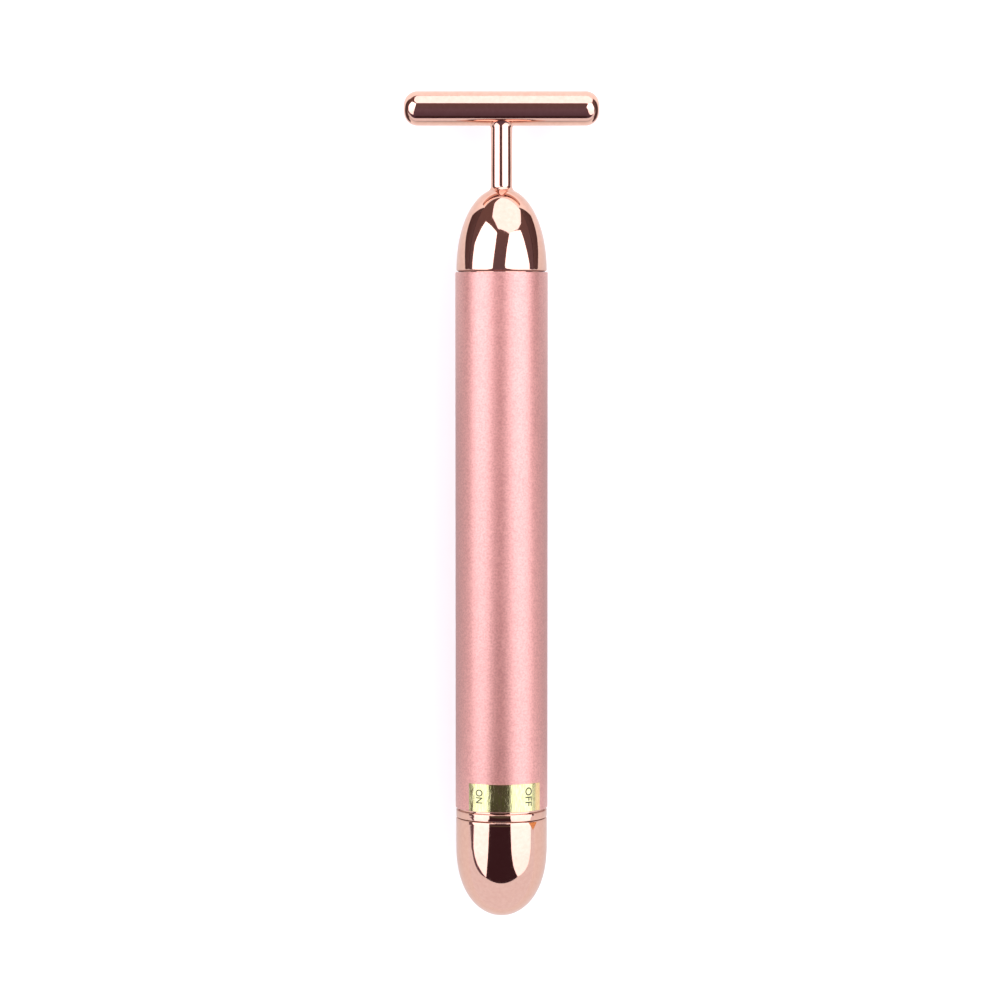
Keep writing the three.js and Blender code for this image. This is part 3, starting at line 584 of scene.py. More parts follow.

# Painted shade in a joint: a dark brown matt colour, slightly mottled, on the fine groove over the barrel's
# end, painted in for the shade that falls there.
painted_groove_shade = new_material("painted shade in the joint groove")
groove_mottle_mm = 0.3
place = add_node(painted_groove_shade, "ShaderNodeTexCoord").outputs["Object"]
groove_mottle = add_node(
    painted_groove_shade, "ShaderNodeTexNoise", {"Scale": 1 / (groove_mottle_mm * MM)}, Vector=place
).outputs["Fac"]
groove_shade_stops = [(0.3, "6E4038"), (0.7, "8A584D")]
tint = add_node(painted_groove_shade, "ShaderNodeValToRGB", {"stops": groove_shade_stops}, Fac=groove_mottle)
finish_with(painted_groove_shade, Base_Color=tint.outputs["Color"], Roughness=0.7)

dome_radius, spigot_bottom, _ = turned_size("nose_dome")
dome_bottom = barrel_top + DOME_SEAM
groove_radius = dome_radius - 3 * DOME_EDGE_DEPTH
edge_level = dome_bottom + DOME_GROOVE + DOME_EDGE_HEIGHT
seal_low, seal_high = turned_size("nose_seal_ring")[1:]
seal_level = (seal_low + seal_high) / 2
nose_seal_centre = turned_size("nose_seal_ring")[0] - NOSE_SEAL_WIRE / 2


def bullet_radius(above):
    """The dome's radius at a height above its foot: a little fuller than an ellipse."""
    share = min(1.0, above / DOME_LENGTH)
    return dome_radius * (1 - share**DOME_FULLNESS) ** (1 / DOME_FULLNESS)


def ring_groove(radius, level, wire):
    """A square groove for an O-ring of a given wire, cut in a shaft of a given radius."""
    half = wire / 2 + RING_GROOVE_SPARE
    root = radius - wire * RING_GROOVE_DEPTH_SHARE
    return [(radius, level - half), (root, level - half), (root, level + half), (radius, level + half)]


dome_outline = [
    (SPIGOT_BORE, spigot_bottom),
    (SPIGOT_RADIUS, spigot_bottom),
    *ring_groove(SPIGOT_RADIUS, seal_level, NOSE_SEAL_WIRE),
    (SPIGOT_RADIUS, dome_bottom),
    (groove_radius, dome_bottom),
    (groove_radius, dome_bottom + DOME_GROOVE),
    *round_corner(dome_radius - DOME_EDGE_DEPTH, edge_level, DOME_EDGE_DEPTH, DOME_EDGE_HEIGHT, -90, -6, 8),
]
for step in range(DOME_STEPS):
    above = DOME_LENGTH * math.sin(math.radians(90 * step / DOME_STEPS))
    if dome_bottom + above > edge_level and bullet_radius(above) > STEM_RADIUS + STEM_FLARE:
        dome_outline.append((bullet_radius(above), dome_bottom + above))
flare_radius, flare_level = dome_outline[-1]
dome_outline += [
    (STEM_RADIUS + STEM_HOLE_SPARE, flare_level + 0.02),
    (STEM_RADIUS + STEM_HOLE_SPARE, flare_level - DOME_WALL),
    *round_corner(0, dome_bottom, SPIGOT_BORE, DOME_LENGTH - 2.5 * DOME_WALL, 65, 1, 16),
]


def paint_faces(mesh, index, chosen):
    """Gives the faces whose middle has a chosen radius and level the piece's material of that index."""
    for face in mesh.polygons:
        radius = math.hypot(face.center.x, face.center.z - AXIS_HEIGHT * MM) / MM
        if chosen(radius, face.center.y / MM - TIP_LEVEL):
            face.material_index = index


dome_mesh = turned_mesh("nose_shell", dome_outline, closed=True)
add_piece("nose_shell", dome_mesh, "handle", "nose_dome", "rose_gold", rose_gold, painted_groove_shade)
# The groove's faces over the barrel's end take the painted shade.
paint_faces(
    dome_mesh,
    1,
    lambda radius, level: SPIGOT_RADIUS < radius < groove_radius + 0.2
    and dome_bottom - FACE_MARGIN < level < dome_bottom + DOME_GROOVE + FACE_MARGIN,
)


def o_ring_mesh(name, centre_radius, level, wire):
    """A moulded ring of round section."""
    return turned_mesh(name, round_corner(centre_radius, level, wire / 2, wire / 2, 0, 345, 23), closed=True)


nose_ring_mesh = o_ring_mesh("nose_o_ring", nose_seal_centre, seal_level, NOSE_SEAL_WIRE)
add_piece("nose_o_ring", nose_ring_mesh, "handle", "nose_seal_ring", "black_rubber", nitrile_rubber)

# Stem: a polished, plated rod. It flares where it meets the dome and a little where it enters the crossbar,
# and its threaded tail goes through the dome's steel washer and nut.
CROSSBAR_RADIUS = 3.25
STEM_FILLET = 0.35
STEM_FLARE_HEIGHT = 1.0
STEM_FLARE_ARC = 62
STEM_TAIL_RADIUS = 1.4
STEM_TAIL_CHAMFER = 0.2
STEM_SHOULDER_DEPTH = 0.4
STEM_SINK = 0.03

crossbar_low, crossbar_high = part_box("crossbar")
crossbar_level = (crossbar_low.y + crossbar_high.y) / 2 / MM - TIP_LEVEL
stem_low = turned_size("stem")[1]
flare_across = (flare_radius - STEM_RADIUS) / (1 - math.cos(math.radians(STEM_FLARE_ARC)))
flare_along = STEM_FLARE_HEIGHT / math.sin(math.radians(STEM_FLARE_ARC))
flare_top = flare_level + STEM_FLARE_HEIGHT
stem_outline = [
    (0, stem_low),
    (STEM_TAIL_RADIUS - STEM_TAIL_CHAMFER, stem_low),
    (STEM_TAIL_RADIUS, stem_low + STEM_TAIL_CHAMFER),
    (STEM_TAIL_RADIUS, flare_level - STEM_SHOULDER_DEPTH),
    (STEM_RADIUS, flare_level - STEM_SHOULDER_DEPTH),
    (flare_radius, flare_level - STEM_SINK),
    *round_corner(STEM_RADIUS + flare_across, flare_top, -flare_across, -flare_along, STEM_FLARE_ARC, 0, 12),
]


def stem_mesh(name, sides=128):
    """The stem, turned from its tail up, with a fillet that follows the crossbar's round side."""
    bm = bmesh.new()
    steps = [(radius, lambda rise, level=level: level) for radius, level in stem_outline]
    for i in range(9):
        angle = math.radians(90 * i / 8)
        radius = STEM_RADIUS + STEM_FILLET * (1 - math.cos(angle))
        drop = 2 * STEM_FILLET * (1 - math.sin(angle)) - STEM_SINK

        def saddle(rise, drop=drop):
            """The level where the stem's side at this height meets the crossbar."""
            return crossbar_level - math.sqrt(CROSSBAR_RADIUS**2 - rise**2) - drop

        steps.append((radius, saddle))
    steps.append((0, lambda rise: crossbar_level))
    rows = []
    for radius, level_at in steps:
        row = []
        for i in range(sides if radius > 0 else 1):
            degrees = 360 * i / sides
            rise = radius * math.cos(math.radians(degrees))
            row.append(bm.verts.new(round_axis(degrees, radius, level_at(rise))))
        rows.append(row)
    skin(bm, rows, sides)
    return finished_mesh(name, bm)


add_piece("stem_rod", stem_mesh("stem_rod"), "handle", "stem", "rose_gold", rose_gold)
finish_nodes(nickel_steel, "stem_washer", "stem_nut")

# Crossbar: the T head that is rolled over the face. It is a solid rod with rounded ends, polished and plated
# in rose gold, and fixed on the stem.
CROSSBAR_ROUND = 2.6


def crossbar_mesh(name, sides=128):
    """A rod along X, turned about its own axis."""
    half = crossbar_high.x / MM
    cheek = CROSSBAR_RADIUS - CROSSBAR_ROUND
    outline = [(0, -half)]
    outline += round_corner(cheek, CROSSBAR_ROUND - half, CROSSBAR_ROUND, CROSSBAR_ROUND, -90, 0, 20)
    outline += [(radius, -along) for radius, along in reversed(outline)]
    bm = bmesh.new()
    rows = []
    for radius, along in outline:
        row = []
        for i in range(sides if radius > 0 else 1):
            angle = 2 * math.pi * i / sides
            y = (crossbar_level + TIP_LEVEL + radius * math.sin(angle)) * MM
            row.append(bm.verts.new((along * MM, y, (AXIS_HEIGHT + radius * math.cos(angle)) * MM)))
        rows.append(row)
    skin(bm, rows, sides)
    return finished_mesh(name, bm)


add_piece("t_head", crossbar_mesh("t_head"), "handle", "crossbar", "rose_gold", rose_gold)

# Battery: one AA cell, a steel can in a shrunk film with its nub towards the motor. It slides in the barrel
# with the cap, because the cap's spring presses it on.
CELL_ROUND = 0.5
CELL_NUB_RADIUS = 2.75
CELL_NUB_LENGTH = 1.0
CELL_NUB_ROUND = 0.2
FILM_EDGE = 5.6

# Shrunk PVC film: a plain dark slate skin with a soft gloss and faint lengthwise tension.
shrunk_film = new_material("shrunk PVC film, slate")
tension_mm, tension_share = 1.2, 0.1
place = add_node(shrunk_film, "ShaderNodeTexCoord").outputs["Object"]
drawn = add_node(shrunk_film, "ShaderNodeVectorMath", {"operation": "MULTIPLY"})
drawn.inputs[1].default_value = (1, tension_share, 1)
shrunk_film.node_tree.links.new(place, drawn.inputs[0])
tension = add_node(
    shrunk_film, "ShaderNodeTexNoise", {"Scale": 1 / (tension_mm * MM)}, Vector=drawn.outputs["Vector"]
).outputs["Fac"]
tint = add_node(shrunk_film, "ShaderNodeValToRGB", {"stops": [(0.3, "56636E"), (0.7, "62707B")]}, Fac=tension)
ripple = add_node(shrunk_film, "ShaderNodeBump", {"Distance": 0.03 * MM, "Strength": 0.4}, Height=tension)
finish_with(
    shrunk_film, Base_Color=tint.outputs["Color"], Roughness=0.3, IOR=1.54, Normal=ripple.outputs["Normal"]
)

cell_radius, cell_bottom, cell_top = turned_size("battery_cell")
cell_shoulder = cell_top - CELL_NUB_LENGTH
nub_rounded = CELL_NUB_RADIUS - CELL_NUB_ROUND
cell_outline = [
    (0, cell_bottom),
    (FILM_EDGE, cell_bottom),
    *round_corner(cell_radius - CELL_ROUND, cell_bottom + CELL_ROUND, CELL_ROUND, CELL_ROUND, -90, 0, 8),
    *round_corner(cell_radius - CELL_ROUND, cell_shoulder - CELL_ROUND, CELL_ROUND, CELL_ROUND, 0, 90, 8),
    (FILM_EDGE, cell_shoulder),
    (CELL_NUB_RADIUS, cell_shoulder),
    *round_corner(nub_rounded, cell_top - CELL_NUB_ROUND, CELL_NUB_ROUND, CELL_NUB_ROUND, 0, 90, 6),
    (0, cell_top),
]
cell_mesh = turned_mesh("aa_cell", cell_outline, sides=128)
add_piece("aa_cell", cell_mesh, "battery", "battery_cell", "cell_wrap", shrunk_film, nickel_steel)
paint_faces(cell_mesh, 1, lambda radius, level: radius < FILM_EDGE - 0.05)

# Trim ring: a narrow plated band between the cap's rim and the insert's shoulder. It turns with the cap.
RING_BORE = 7.6
RING_ROUND = 0.16

ring_radius, ring_bottom, ring_top = turned_size("trim_ring")
ring_radius -= CAD_SKIN
rounded = ring_radius - RING_ROUND
ring_outline = [
    (RING_BORE, ring_bottom),
    *round_corner(rounded, ring_bottom + RING_ROUND, RING_ROUND, RING_ROUND, -90, 0, 12),
    *round_corner(rounded, ring_top - RING_ROUND, RING_ROUND, RING_ROUND, 0, 90, 12),
    (RING_BORE, ring_top),
]
ring_mesh = turned_mesh("cap_trim_band", ring_outline, closed=True)
add_piece("cap_trim_band", ring_mesh, "cap", "trim_ring", "rose_gold", rose_gold)

# Cap insert: turned from brass, with a skirt that is pressed into the cap, a floor for the battery's contact,
# a seal groove and a left-handed thread. Its shoulder shows in the joint, so it is plated like the cap.
INSERT_RADIUS = 7.4
INSERT_SHOULDER_RADIUS = 8.02
INSERT_SHOULDER_HEIGHT = 0.85
INSERT_SEAM = 0.03
INSERT_FLOOR_BOTTOM = 17.4
INSERT_FLOOR_TOP = 19.0
NECK_RADIUS = 7.2
NECK_BORE = 5.8
NECK_CHAMFER = 0.2
CAP_SEAL_WIRE = 1.2
CAP_SEAL_GAP = 0.1
RIDGE_RADIUS = 7.85
RIDGE_LEVEL = 23.6
RIDGE_ROOT = 0.34
RIDGE_CREST = 0.17
RIDGE_SINK = 0.1
RIDGE_LEAST_SHARE = 0.05
RIDGE_RUNOUT_SHARE = 0.1
THREAD_PITCH = 1.5
THREAD_TURNS = 2.5
LEFT_HANDED, RIGHT_HANDED = -1, 1


def wound_mesh(name, section, start, pitch, turns, hand, steps=72):
    """A bar wound round the axis. section(share) gives its (radius, level) points at that share of it."""
    bm = bmesh.new()
    rows = []
    for i in range(round(turns * steps) + 1):
        share = i / round(turns * steps)
        level = start + pitch * turns * share
        degrees = 360 * hand * turns * share
        corners = section(share)
        rows.append([bm.verts.new(round_axis(degrees, radius, level + rise)) for radius, rise in corners])
    skin(bm, rows, len(rows[0]))
    bm.faces.new(rows[0])
    bm.faces.new(rows[-1])
    bmesh.ops.recalc_face_normals(bm, faces=bm.faces)
    return finished_mesh(name, bm)


def ridge_section(share):
    """The thread's ridge, which fades into the neck at both ends."""
    whole = min(1, share / RIDGE_RUNOUT_SHARE, (1 - share) / RIDGE_RUNOUT_SHARE)
    root = NECK_RADIUS - RIDGE_SINK
    crest = root + (RIDGE_RADIUS - root) * max(whole, RIDGE_LEAST_SHARE)
    return [(root, -RIDGE_ROOT), (crest, -RIDGE_CREST), (crest, RIDGE_CREST), (root, RIDGE_ROOT)]


insert_bottom, insert_top = turned_size("cap_insert")[1:]
shoulder_bottom = ring_top + INSERT_SEAM
shoulder_top = shoulder_bottom + INSERT_SHOULDER_HEIGHT
cap_seal_level = shoulder_top + CAP_SEAL_WIRE / 2 + CAP_SEAL_GAP
insert_outline = [
    (0, INSERT_FLOOR_BOTTOM),
    (NECK_BORE, INSERT_FLOOR_BOTTOM),
    (NECK_BORE, insert_bottom),
    (INSERT_RADIUS, insert_bottom),
    (INSERT_RADIUS, shoulder_bottom),
    (INSERT_SHOULDER_RADIUS, shoulder_bottom),
    (INSERT_SHOULDER_RADIUS, shoulder_top),
    *ring_groove(NECK_RADIUS, cap_seal_level, CAP_SEAL_WIRE),
    (NECK_RADIUS, insert_top - NECK_CHAMFER),
    (NECK_RADIUS - NECK_CHAMFER, insert_top),
    (NECK_BORE, insert_top),
    (NECK_BORE, INSERT_FLOOR_TOP),
    (0, INSERT_FLOOR_TOP),
]
insert_bm = bmesh.new()
insert_bm.from_mesh(turned_mesh("insert_body", insert_outline))
insert_bm.from_mesh(wound_mesh("ridge", ridge_section, RIDGE_LEVEL, THREAD_PITCH, THREAD_TURNS, LEFT_HANDED))
insert_mesh = finished_mesh("threaded_insert", insert_bm)
add_piece("threaded_insert", insert_mesh, "cap", "cap_insert", "brass", rolled_brass, rose_gold)
paint_faces(
    insert_mesh, 1, lambda radius, level: radius > INSERT_RADIUS and level < shoulder_top + FACE_MARGIN
)

cap_seal_centre = turned_size("cap_seal_ring")[0] - CAP_SEAL_WIRE / 2
cap_ring_mesh = o_ring_mesh("cap_o_ring", cap_seal_centre, cap_seal_level, CAP_SEAL_WIRE)
add_piece("cap_o_ring", cap_ring_mesh, "cap", "cap_seal_ring", "black_rubber", nitrile_rubber)

# Cap contact: a steel plate on the insert's floor, and a conical spring of steel wire that stands on it and
# presses the cell towards the motor.
SPRING_WIRE = 0.8
SPRING_TIP_RADIUS = 2.6
SPRING_TURNS = 5


def spring_section(share):
    """The wire's round section, on a circle that narrows towards the cell."""
    centre = spring_base_radius + (SPRING_TIP_RADIUS - spring_base_radius) * share - SPRING_WIRE / 2
    return round_corner(centre, SPRING_WIRE / 2, SPRING_WIRE / 2, SPRING_WIRE / 2, 0, 330, 11)


spring_low, spring_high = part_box("cap_spring")
spring_base_radius = (spring_high.z / MM) - AXIS_HEIGHT
spring_bottom = spring_low.y / MM - TIP_LEVEL
spring_pitch = ((spring_high.y - spring_low.y) / MM - SPRING_WIRE) / SPRING_TURNS
coil_mesh = wound_mesh(
    "contact_spring", spring_section, spring_bottom, spring_pitch, SPRING_TURNS, RIGHT_HANDED
)
add_piece("contact_spring", coil_mesh, "cap", "cap_spring", "steel", nickel_steel)
finish_nodes(nickel_steel, "cap_contact_plate")

# End cap: a domed shell, drawn from brass and plated in rose gold. It is turned against the barrel to switch
# the motor on, and unscrewed to change the battery.
CAP_TAPER = 14.0
CAP_FULLNESS = 2.4
CAP_WALL = 1.0
CAP_CROWN = 0.05
CAP_CROWN_LENGTH = 0.8
CAP_EDGE = 0.2
CAP_STEPS = 72
CROWN_STEPS = 12

cap_radius, _, cap_rim = turned_size("cap_shell")


def cap_outer(level):
    """The cap's radius: it tapers more and more towards the tip, and is drawn in a little at its rim."""
    taper = max(0.0, 1 - level / CAP_TAPER)
    crown = max(0.0, 1 - (cap_rim - level) / CAP_CROWN_LENGTH)
    return cap_radius * math.sqrt(1 - taper**CAP_FULLNESS) - CAP_CROWN * crown**2


cap_outline = [(0, 0)]
for step in range(1, CAP_STEPS + 1):
    level = CAP_TAPER * (1 - math.cos(math.radians(90 * step / CAP_STEPS)))
    cap_outline.append((cap_outer(level), level))
for step in range(CROWN_STEPS + 1):
    level = cap_rim - CAP_CROWN_LENGTH + (CAP_CROWN_LENGTH - CAP_EDGE) * step / CROWN_STEPS
    cap_outline.append((cap_outer(level), level))
edge_radius = cap_outer(cap_rim - CAP_EDGE) - CAP_EDGE
cap_outline += round_corner(edge_radius, cap_rim - CAP_EDGE, CAP_EDGE, CAP_EDGE, 6, 90, 8)
cap_outline.append((cap_radius - CAP_WALL, cap_rim))
inner = CAP_TAPER - CAP_WALL
cap_outline += round_corner(0, CAP_TAPER, cap_radius - CAP_WALL, inner, 0, -90, 40)
cap_outline[-1] = (0, CAP_WALL)
cap_mesh = turned_mesh("end_cap", cap_outline)
add_piece("end_cap", cap_mesh, "cap", "cap_shell", "rose_gold", rose_gold)

# Pointer: a small triangle of orange enamel on the cap's rim. It shows which mark the cap is turned to.
POINTER_MIDDLE = 43.4
POINTER_HALF = 7.0
POINTER_TOP = 18.62
POINTER_TIP = 17.2
PAINT_THICKNESS = 0.02

# Orange enamel, sprayed through a stencil: a thin even gloss with soft mottling.
orange_enamel = new_material("orange enamel, sprayed")
mottle_mm = 0.3
place = add_node(orange_enamel, "ShaderNodeTexCoord").outputs["Object"]
mottle = add_node(
    orange_enamel, "ShaderNodeTexNoise", {"Scale": 1 / (mottle_mm * MM)}, Vector=place
).outputs["Fac"]
mottle_stops = [(0.3, "BC5C18"), (0.7, "D27A2E")]
tint = add_node(orange_enamel, "ShaderNodeValToRGB", {"stops": mottle_stops}, Fac=mottle)
finish_with(orange_enamel, Base_Color=tint.outputs["Color"], Roughness=0.35)


def pointer_mesh(name, rows_down=10, columns=12):
    """A triangle that follows the cap's side, with its point towards the tip."""
    bm = bmesh.new()
    rows = []
    for i in range(rows_down + 1):
        share = i / rows_down
        level = POINTER_TOP + (POINTER_TIP - POINTER_TOP) * share
        radius = cap_outer(level) + PAINT_THICKNESS
        row = []
        for j in range(columns + 1 if i < rows_down else 1):
            degrees = POINTER_MIDDLE + POINTER_HALF * (1 - share) * (2 * j / columns - 1)
            row.append(bm.verts.new(round_axis(degrees, radius, level)))
        rows.append(row)
    for upper, lower in zip(rows, rows[1:]):
        for j in range(columns):
            ends = upper[j], lower[j % len(lower)], lower[(j + 1) % len(lower)], upper[j + 1]
            bm.faces.new(list(dict.fromkeys(ends)))
    return finished_mesh(name, bm)


add_piece("pointer", pointer_mesh("pointer"), "cap", None, "rose_gold", orange_enamel)

# Floor and backdrop: one sheet of white board. It shows the bar's soft shadow, and looks white to the camera
# and in the polished parts. The light that it gives the polished parts falls off towards the cap.
FLOOR_SIZE = 6.0
FLOOR_GAP = 0.00002
BOARD_SHADES = [(0.19, "C0C0C0"), (0.26, "898989"), (0.575, "898989"), (0.7, "BCBCBC")]
BOARD_SHADES += [(0.775, "D3D3D3"), (0.925, "EDEDED")]
BOARD_TO_CAMERA = 0.36
floor_level = (AXIS_HEIGHT - barrel_radius) * MM - FLOOR_GAP


def stage_piece(name, corners, material):
    """A flat sheet of the set, through the given corners."""
    mesh = bpy.data.meshes.new(name)
    mesh.from_pydata(corners, [], [tuple(range(len(corners)))])
    mesh.materials.append(material)
    made = bpy.data.objects.new(name, mesh)
    bpy.context.collection.objects.link(made)
    return made


white_board = new_material("white board, matt")
ray = add_node(white_board, "ShaderNodeLightPath")
place = add_node(white_board, "ShaderNodeTexCoord").outputs["Object"]
along = add_node(white_board, "ShaderNodeSeparateXYZ", Vector=place).outputs["Y"]
paper = add_node(white_board, "ShaderNodeMix", {"data_type": "RGBA"}, Factor=ray.outputs["Is Glossy Ray"])
paper.inputs["A"].default_value = to_linear("E6E6E6")
paper.inputs["B"].default_value = to_linear("9A9A9A")
reach = add_node(white_board, "ShaderNodeMapRange", {"From Min": -0.1, "From Max": 0.1}, Value=along)
in_metal = add_node(white_board, "ShaderNodeValToRGB", {"stops": BOARD_SHADES}, Fac=reach.outputs["Result"])
for_metal = add_node(white_board, "ShaderNodeMath", {"operation": "MULTIPLY"})
for_camera = add_node(white_board, "ShaderNodeMath", {"operation": "MULTIPLY_ADD"})
for_camera.inputs[1].default_value = BOARD_TO_CAMERA
links = white_board.node_tree.links
links.new(ray.outputs["Is Glossy Ray"], for_metal.inputs[0])
links.new(in_metal.outputs["Color"], for_metal.inputs[1])
links.new(ray.outputs["Is Camera Ray"], for_camera.inputs[0])
links.new(for_metal.outputs[0], for_camera.inputs[2])
finish_with(
    white_board,
    Base_Color=paper.outputs["Result"],
    Roughness=0.9,
    Specular_IOR_Level=0.1,
    Emission_Color=(1, 1, 1, 1),
    Emission_Strength=for_camera.outputs[0],
)

half = FLOOR_SIZE / 2
floor_corners = [(x, y, floor_level) for x, y in ((-half, -half), (half, -half), (half, half), (-half, half))]
stage_piece("floor", floor_corners, white_board)

# Lights: two large soft panels at the bar's sides and a soft octagon beyond its T head, all of white cloth.
# The polished parts mirror their outlines.
PANEL_CAP_STRENGTH = 1.85
PANEL_HEAD_STRENGTH = 3.0
PANEL_DISTANCE = 0.6
LEFT_PANEL_DEGREES = -54
RIGHT_PANEL_DEGREES = 50
OCTAGON_STRENGTH = 1.9
OCTAGON_DISTANCE = 0.7
OCTAGON_AZIMUTH = 14
OCTAGON_LEAN = 62
DOME_MIDDLE = 0.055
COOL_WHITE = (0.98, 1, 1.1, 1)


def soft_light(name, corners, cap_strength, head_strength):
    """A lit panel of diffusing cloth, a little cool, whose strength changes towards the T head."""
    cloth = new_material(name + ", diffusing cloth")
    tree = cloth.node_tree
    tree.nodes.remove(tree.nodes["Principled BSDF"])
    place = add_node(cloth, "ShaderNodeTexCoord").outputs["Object"]
    along = add_node(cloth, "ShaderNodeSeparateXYZ", Vector=place).outputs["Y"]
    fade = add_node(
        cloth,
        "ShaderNodeMapRange",
        {"From Min": -0.2, "From Max": 0.3, "To Min": cap_strength, "To Max": head_strength},
        Value=along,
    )
    lit = add_node(cloth, "ShaderNodeEmission", {"Color": COOL_WHITE}, Strength=fade.outputs["Result"])
    tree.links.new(lit.outputs[0], tree.nodes["Material Output"].inputs["Surface"])
    made = stage_piece(name, corners, cloth)
    made.visible_camera = False
    made.visible_shadow = False
    return made


def side_corners(direction_degrees, outline):
    """Corners on a plane that faces the bar. An outline point is (across, along) in metres, where across
    runs away from the vertical on the +X side."""
    angle = math.radians(direction_degrees)
    out = Vector((math.sin(angle), 0, math.cos(angle)))
    across = Vector((math.cos(angle), 0, -math.sin(angle)))
    centre = Vector((0, 0, AXIS_HEIGHT * MM)) + out * PANEL_DISTANCE
    return [tuple(centre + across * a + Vector((0, 1, 0)) * b) for a, b in outline]


def head_corners(azimuth, off_vertical, outline):
    """Corners on a plane that faces the dome. Azimuth runs from +Y towards +X, and an outline point is
    (side, down) in metres."""
    turned, leant = math.radians(azimuth), math.radians(off_vertical)
    out = Vector((math.sin(leant) * math.sin(turned), math.sin(leant) * math.cos(turned), math.cos(leant)))
    side = Vector((math.cos(turned), -math.sin(turned), 0))
    down = out.cross(side)
    centre = Vector((0, DOME_MIDDLE, AXIS_HEIGHT * MM)) + out * OCTAGON_DISTANCE
    return [tuple(centre + side * x + down * y) for x, y in outline]


left_outline = [
    (-0.29, -0.04),
    (-0.281, 0.094),
    (-0.252, 0.237),
    (-0.164, 0.327),
    (-0.019, 0.513),
    (0.512, 0.495),
    (0.448, 0.263),
    (0.382, 0.108),
    (0.27, -0.14),
    (0.257, -0.16),
    (0.228, -0.164),
    (0.209, -0.203),
    (0.174, -0.282),
    (0.123, -0.389),
    (0.09, -0.441),
    (0.015, -0.376),
    (-0.054, -0.317),
    (-0.118, -0.271),
    (-0.158, -0.234),
    (-0.188, -0.209),
    (-0.213, -0.179),
    (-0.237, -0.164),
    (-0.205, -0.152),
    (-0.205, -0.136),
    (-0.26, -0.09),
]
right_outline = [
    (-0.312, -0.155),
    (-0.31, -0.1),
    (-0.527, 0.107),
    (-0.429, 0.261),
    (-0.298, 0.408),
    (0.103, 0.374),
    (0.195, 0.202),
    (0.287, 0.089),
    (0.3, -0.1),
    (0.385, -0.13),
    (0.39, -0.152),
    (0.43, -0.17),
    (0.36, -0.24),
    (0.3, -0.3),
    (0.22, -0.36),
    (0.15, -0.4),
    (0, -0.44),
    (-0.023, -0.428),
    (-0.091, -0.386),
    (-0.162, -0.334),
    (-0.211, -0.286),
    (-0.249, -0.245),
    (-0.273, -0.208),
    (-0.299, -0.169),
]
octagon_outline = [
    (-0.21, 0.36),
    (-0.436, 0.17),
    (-0.506, -0.192),
    (-0.247, -0.42),
    (0.204, -0.38),
    (0.464, -0.135),
    (0.541, 0.035),
    (0.48, 0.36),
]
left_corners = side_corners(LEFT_PANEL_DEGREES, left_outline)
right_corners = side_corners(RIGHT_PANEL_DEGREES, right_outline)
octagon_corners = head_corners(OCTAGON_AZIMUTH, OCTAGON_LEAN, octagon_outline)
soft_light("left_panel", left_corners, PANEL_CAP_STRENGTH, PANEL_HEAD_STRENGTH)
soft_light("right_panel", right_corners, PANEL_CAP_STRENGTH, PANEL_HEAD_STRENGTH)
soft_light("head_octagon", octagon_corners, OCTAGON_STRENGTH, OCTAGON_STRENGTH)

# Cards: a low white card stands beyond the cap, and its lit face shows along the cap's sides and tip.
CARD_PLACE = -0.12
CARD_STRENGTH = 0.98
card_top = [
    (-0.5, 0.083),
    (-0.43, 0.075),
    (-0.405, 0.026),
    (-0.395, 0.029),
    (-0.383, 0.049),
    (-0.365, 0.059),
    (-0.305, 0.069),
    (-0.237, 0.064),
    (-0.157, 0.061),
    (-0.123, 0.062),
    (-0.093, 0.064),
    (-0.064, 0.071),
    (-0.03, 0.072),
    (0.03, 0.0725),
    (0.067, 0.0735),
    (0.083, 0.069),
    (0.103, 0.065),
    (0.123, 0.062),
    (0.157, 0.061),
    (0.197, 0.064),
    (0.246, 0.07),
    (0.353, 0.081),
    (0.396, 0.085),
    (0.5, 0.07),
]
card_corners = [(x, CARD_PLACE, z) for x, z in card_top]
card_corners += [(0.5, CARD_PLACE, floor_level), (-0.5, CARD_PLACE, floor_level)]
soft_light("cap_card", card_corners, CARD_STRENGTH, CARD_STRENGTH)

# Black cards lie on the floor at both sides of the dome and keep the floor's white out of its sides. A black
# flag hangs between the panels and shows as the dark middle of the cap. The flag also glows faintly, dim
# purple-brown with a greyish-green band along Y, as a painted reflection in the cap and label.
CARD_LIFT = 0.0006
FLAG_HEIGHT = 0.1
black_paper = new_material("black paper, matt")
finish_with(black_paper, Base_Color=to_linear("4A3533"), Roughness=0.9, Specular_IOR_Level=0.1)
black_velvet_painted_glow = new_material("black velvet, painted glow")
place = add_node(black_velvet_painted_glow, "ShaderNodeTexCoord").outputs["Object"]
along = add_node(black_velvet_painted_glow, "ShaderNodeSeparateXYZ", Vector=place).outputs["Y"]
# Painted reflection: the velvet gives off a dim glow, purple-brown with a greyish-green band along Y, which
# the polished parts and the label mirror.
reach = add_node(black_velvet_painted_glow, "ShaderNodeMapRange", {"From Min": -0.075, "From Max": -0.05}, Value=along)
flag_glow_stops = [(0.2, "3C272F"), (0.224, "524F42"), (0.4, "676458"), (0.46, "3C272F")]
painted_flag_glow = add_node(black_velvet_painted_glow, "ShaderNodeValToRGB", {"stops": flag_glow_stops}, Fac=reach.outputs["Result"])
finish_with(
    black_velvet_painted_glow,
    Base_Color=(0, 0, 0, 1),
    Roughness=1.0,
    Specular_IOR_Level=0.0,
    Emission_Color=painted_flag_glow.outputs["Color"],
    Emission_Strength=1.0,
)
black_outline = [(-0.07, 0.03), (-0.051, 0.047), (-0.029, 0.057), (-0.022, 0.064), (-0.168, 0.234)]
black_outline += [(-2.0, 2.3), (-2.9, 2.3), (-2.9, 0.03)]
flag_outline = [(-0.053, -0.05), (-0.053, -0.075), (-0.058, -0.079), (-0.061, -0.088), (-0.068, -0.104)]
flag_outline += [(-0.078, -0.128), (-0.087, -0.144), (-0.25, -0.4), (-0.25, -0.6), (0.25, -0.6)]
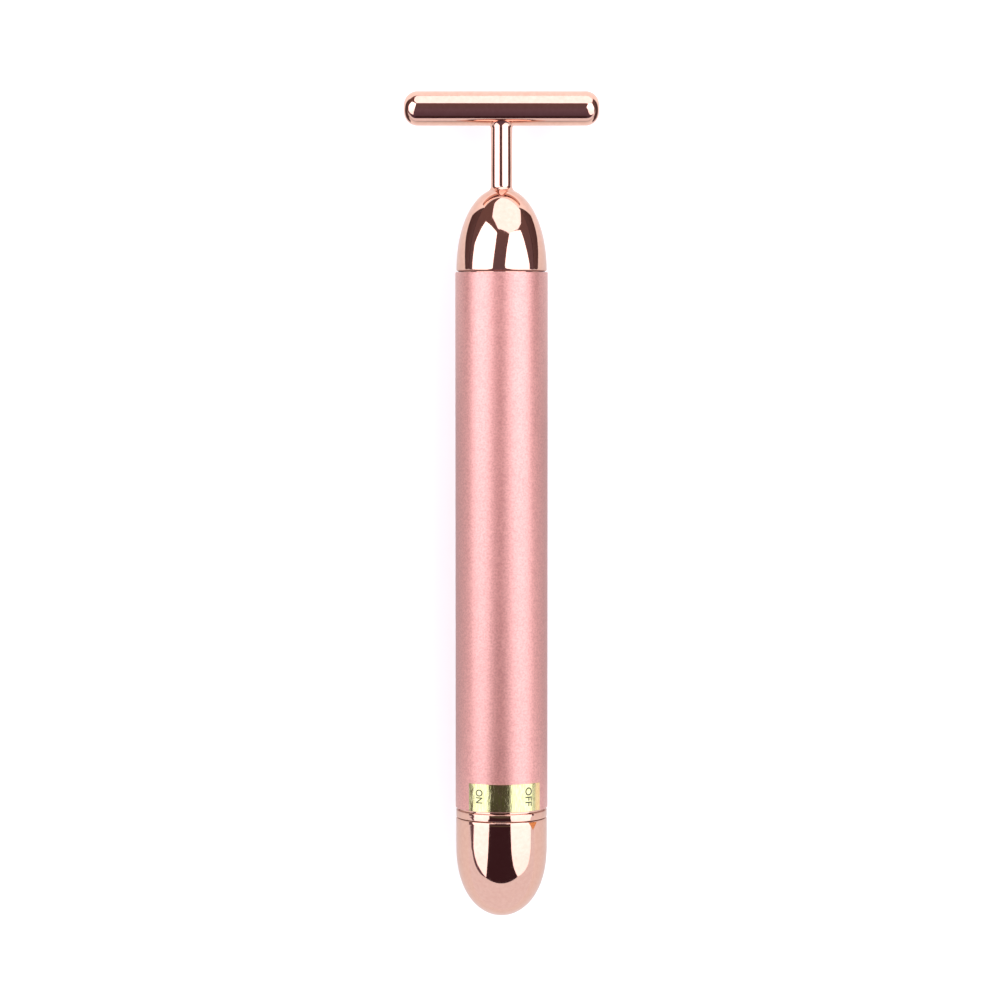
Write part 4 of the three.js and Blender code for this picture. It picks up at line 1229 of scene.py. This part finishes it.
flag_outline += [(0.094, -0.145), (0.075, -0.127), (0.06, -0.112), (0.052, -0.101), (0.043, -0.085)]
flag_outline += [(0.04, -0.078), (0.037, -0.074), (0.037, -0.05)]
level = floor_level + CARD_LIFT
dark_cards = [
    stage_piece("black_card_left", [(x, y, level) for x, y in black_outline], black_paper),
    stage_piece("black_card_right", [(-x, y, level) for x, y in black_outline], black_paper),
    stage_piece("black_flag", [(x, y, FLAG_HEIGHT) for x, y in flag_outline], black_velvet_painted_glow),
]
for card in dark_cards:
    card.visible_camera = False
    card.visible_diffuse = False
    card.visible_shadow = False

# Studio: the room beyond the lights is dim and warm, and darkest behind the cap. The camera sees white there.
world = bpy.data.worlds.new("studio")
bpy.context.scene.world = world
world.use_nodes = True
direction = add_node(world, "ShaderNodeTexCoord").outputs["Generated"]
towards_head = add_node(world, "ShaderNodeSeparateXYZ", Vector=direction).outputs["Y"]
share = add_node(world, "ShaderNodeMapRange", {"From Min": -1.0, "From Max": 1.0}, Value=towards_head)
dim_stops = [(0.04, "0D0707"), (0.1, "5E4C5C"), (0.37, "705D6C"), (0.53, "6C5B63"), (0.85, "755D5C")]
dim = add_node(world, "ShaderNodeValToRGB", {"stops": dim_stops}, Fac=share.outputs["Result"])
ray = add_node(world, "ShaderNodeLightPath")
backdrop = add_node(world, "ShaderNodeMix", {"data_type": "RGBA"}, Factor=ray.outputs["Is Camera Ray"])
backdrop.inputs["B"].default_value = (1, 1, 1, 1)
world.node_tree.links.new(dim.outputs["Color"], backdrop.inputs["A"])
world.node_tree.links.new(backdrop.outputs["Result"], world.node_tree.nodes["Background"].inputs["Color"])

# Camera: a long lens that looks down on the bar, a little towards its T head.
CAMERA_PLACE = (-0.000285, 0.0356, 0.6386)
CAMERA_TILT = -3.137
CAMERA_LENS = 120.59
camera_data = bpy.data.cameras.new("camera")
camera_data.lens = CAMERA_LENS
camera_data.sensor_width = 36
camera_data.clip_start = 0.01
camera = bpy.data.objects.new("camera", camera_data)
bpy.context.collection.objects.link(camera)
camera.location = CAMERA_PLACE
camera.rotation_euler = (math.radians(CAMERA_TILT), 0, 0)
bpy.context.scene.camera = camera

bpy.context.scene.view_settings.view_transform = "Standard"
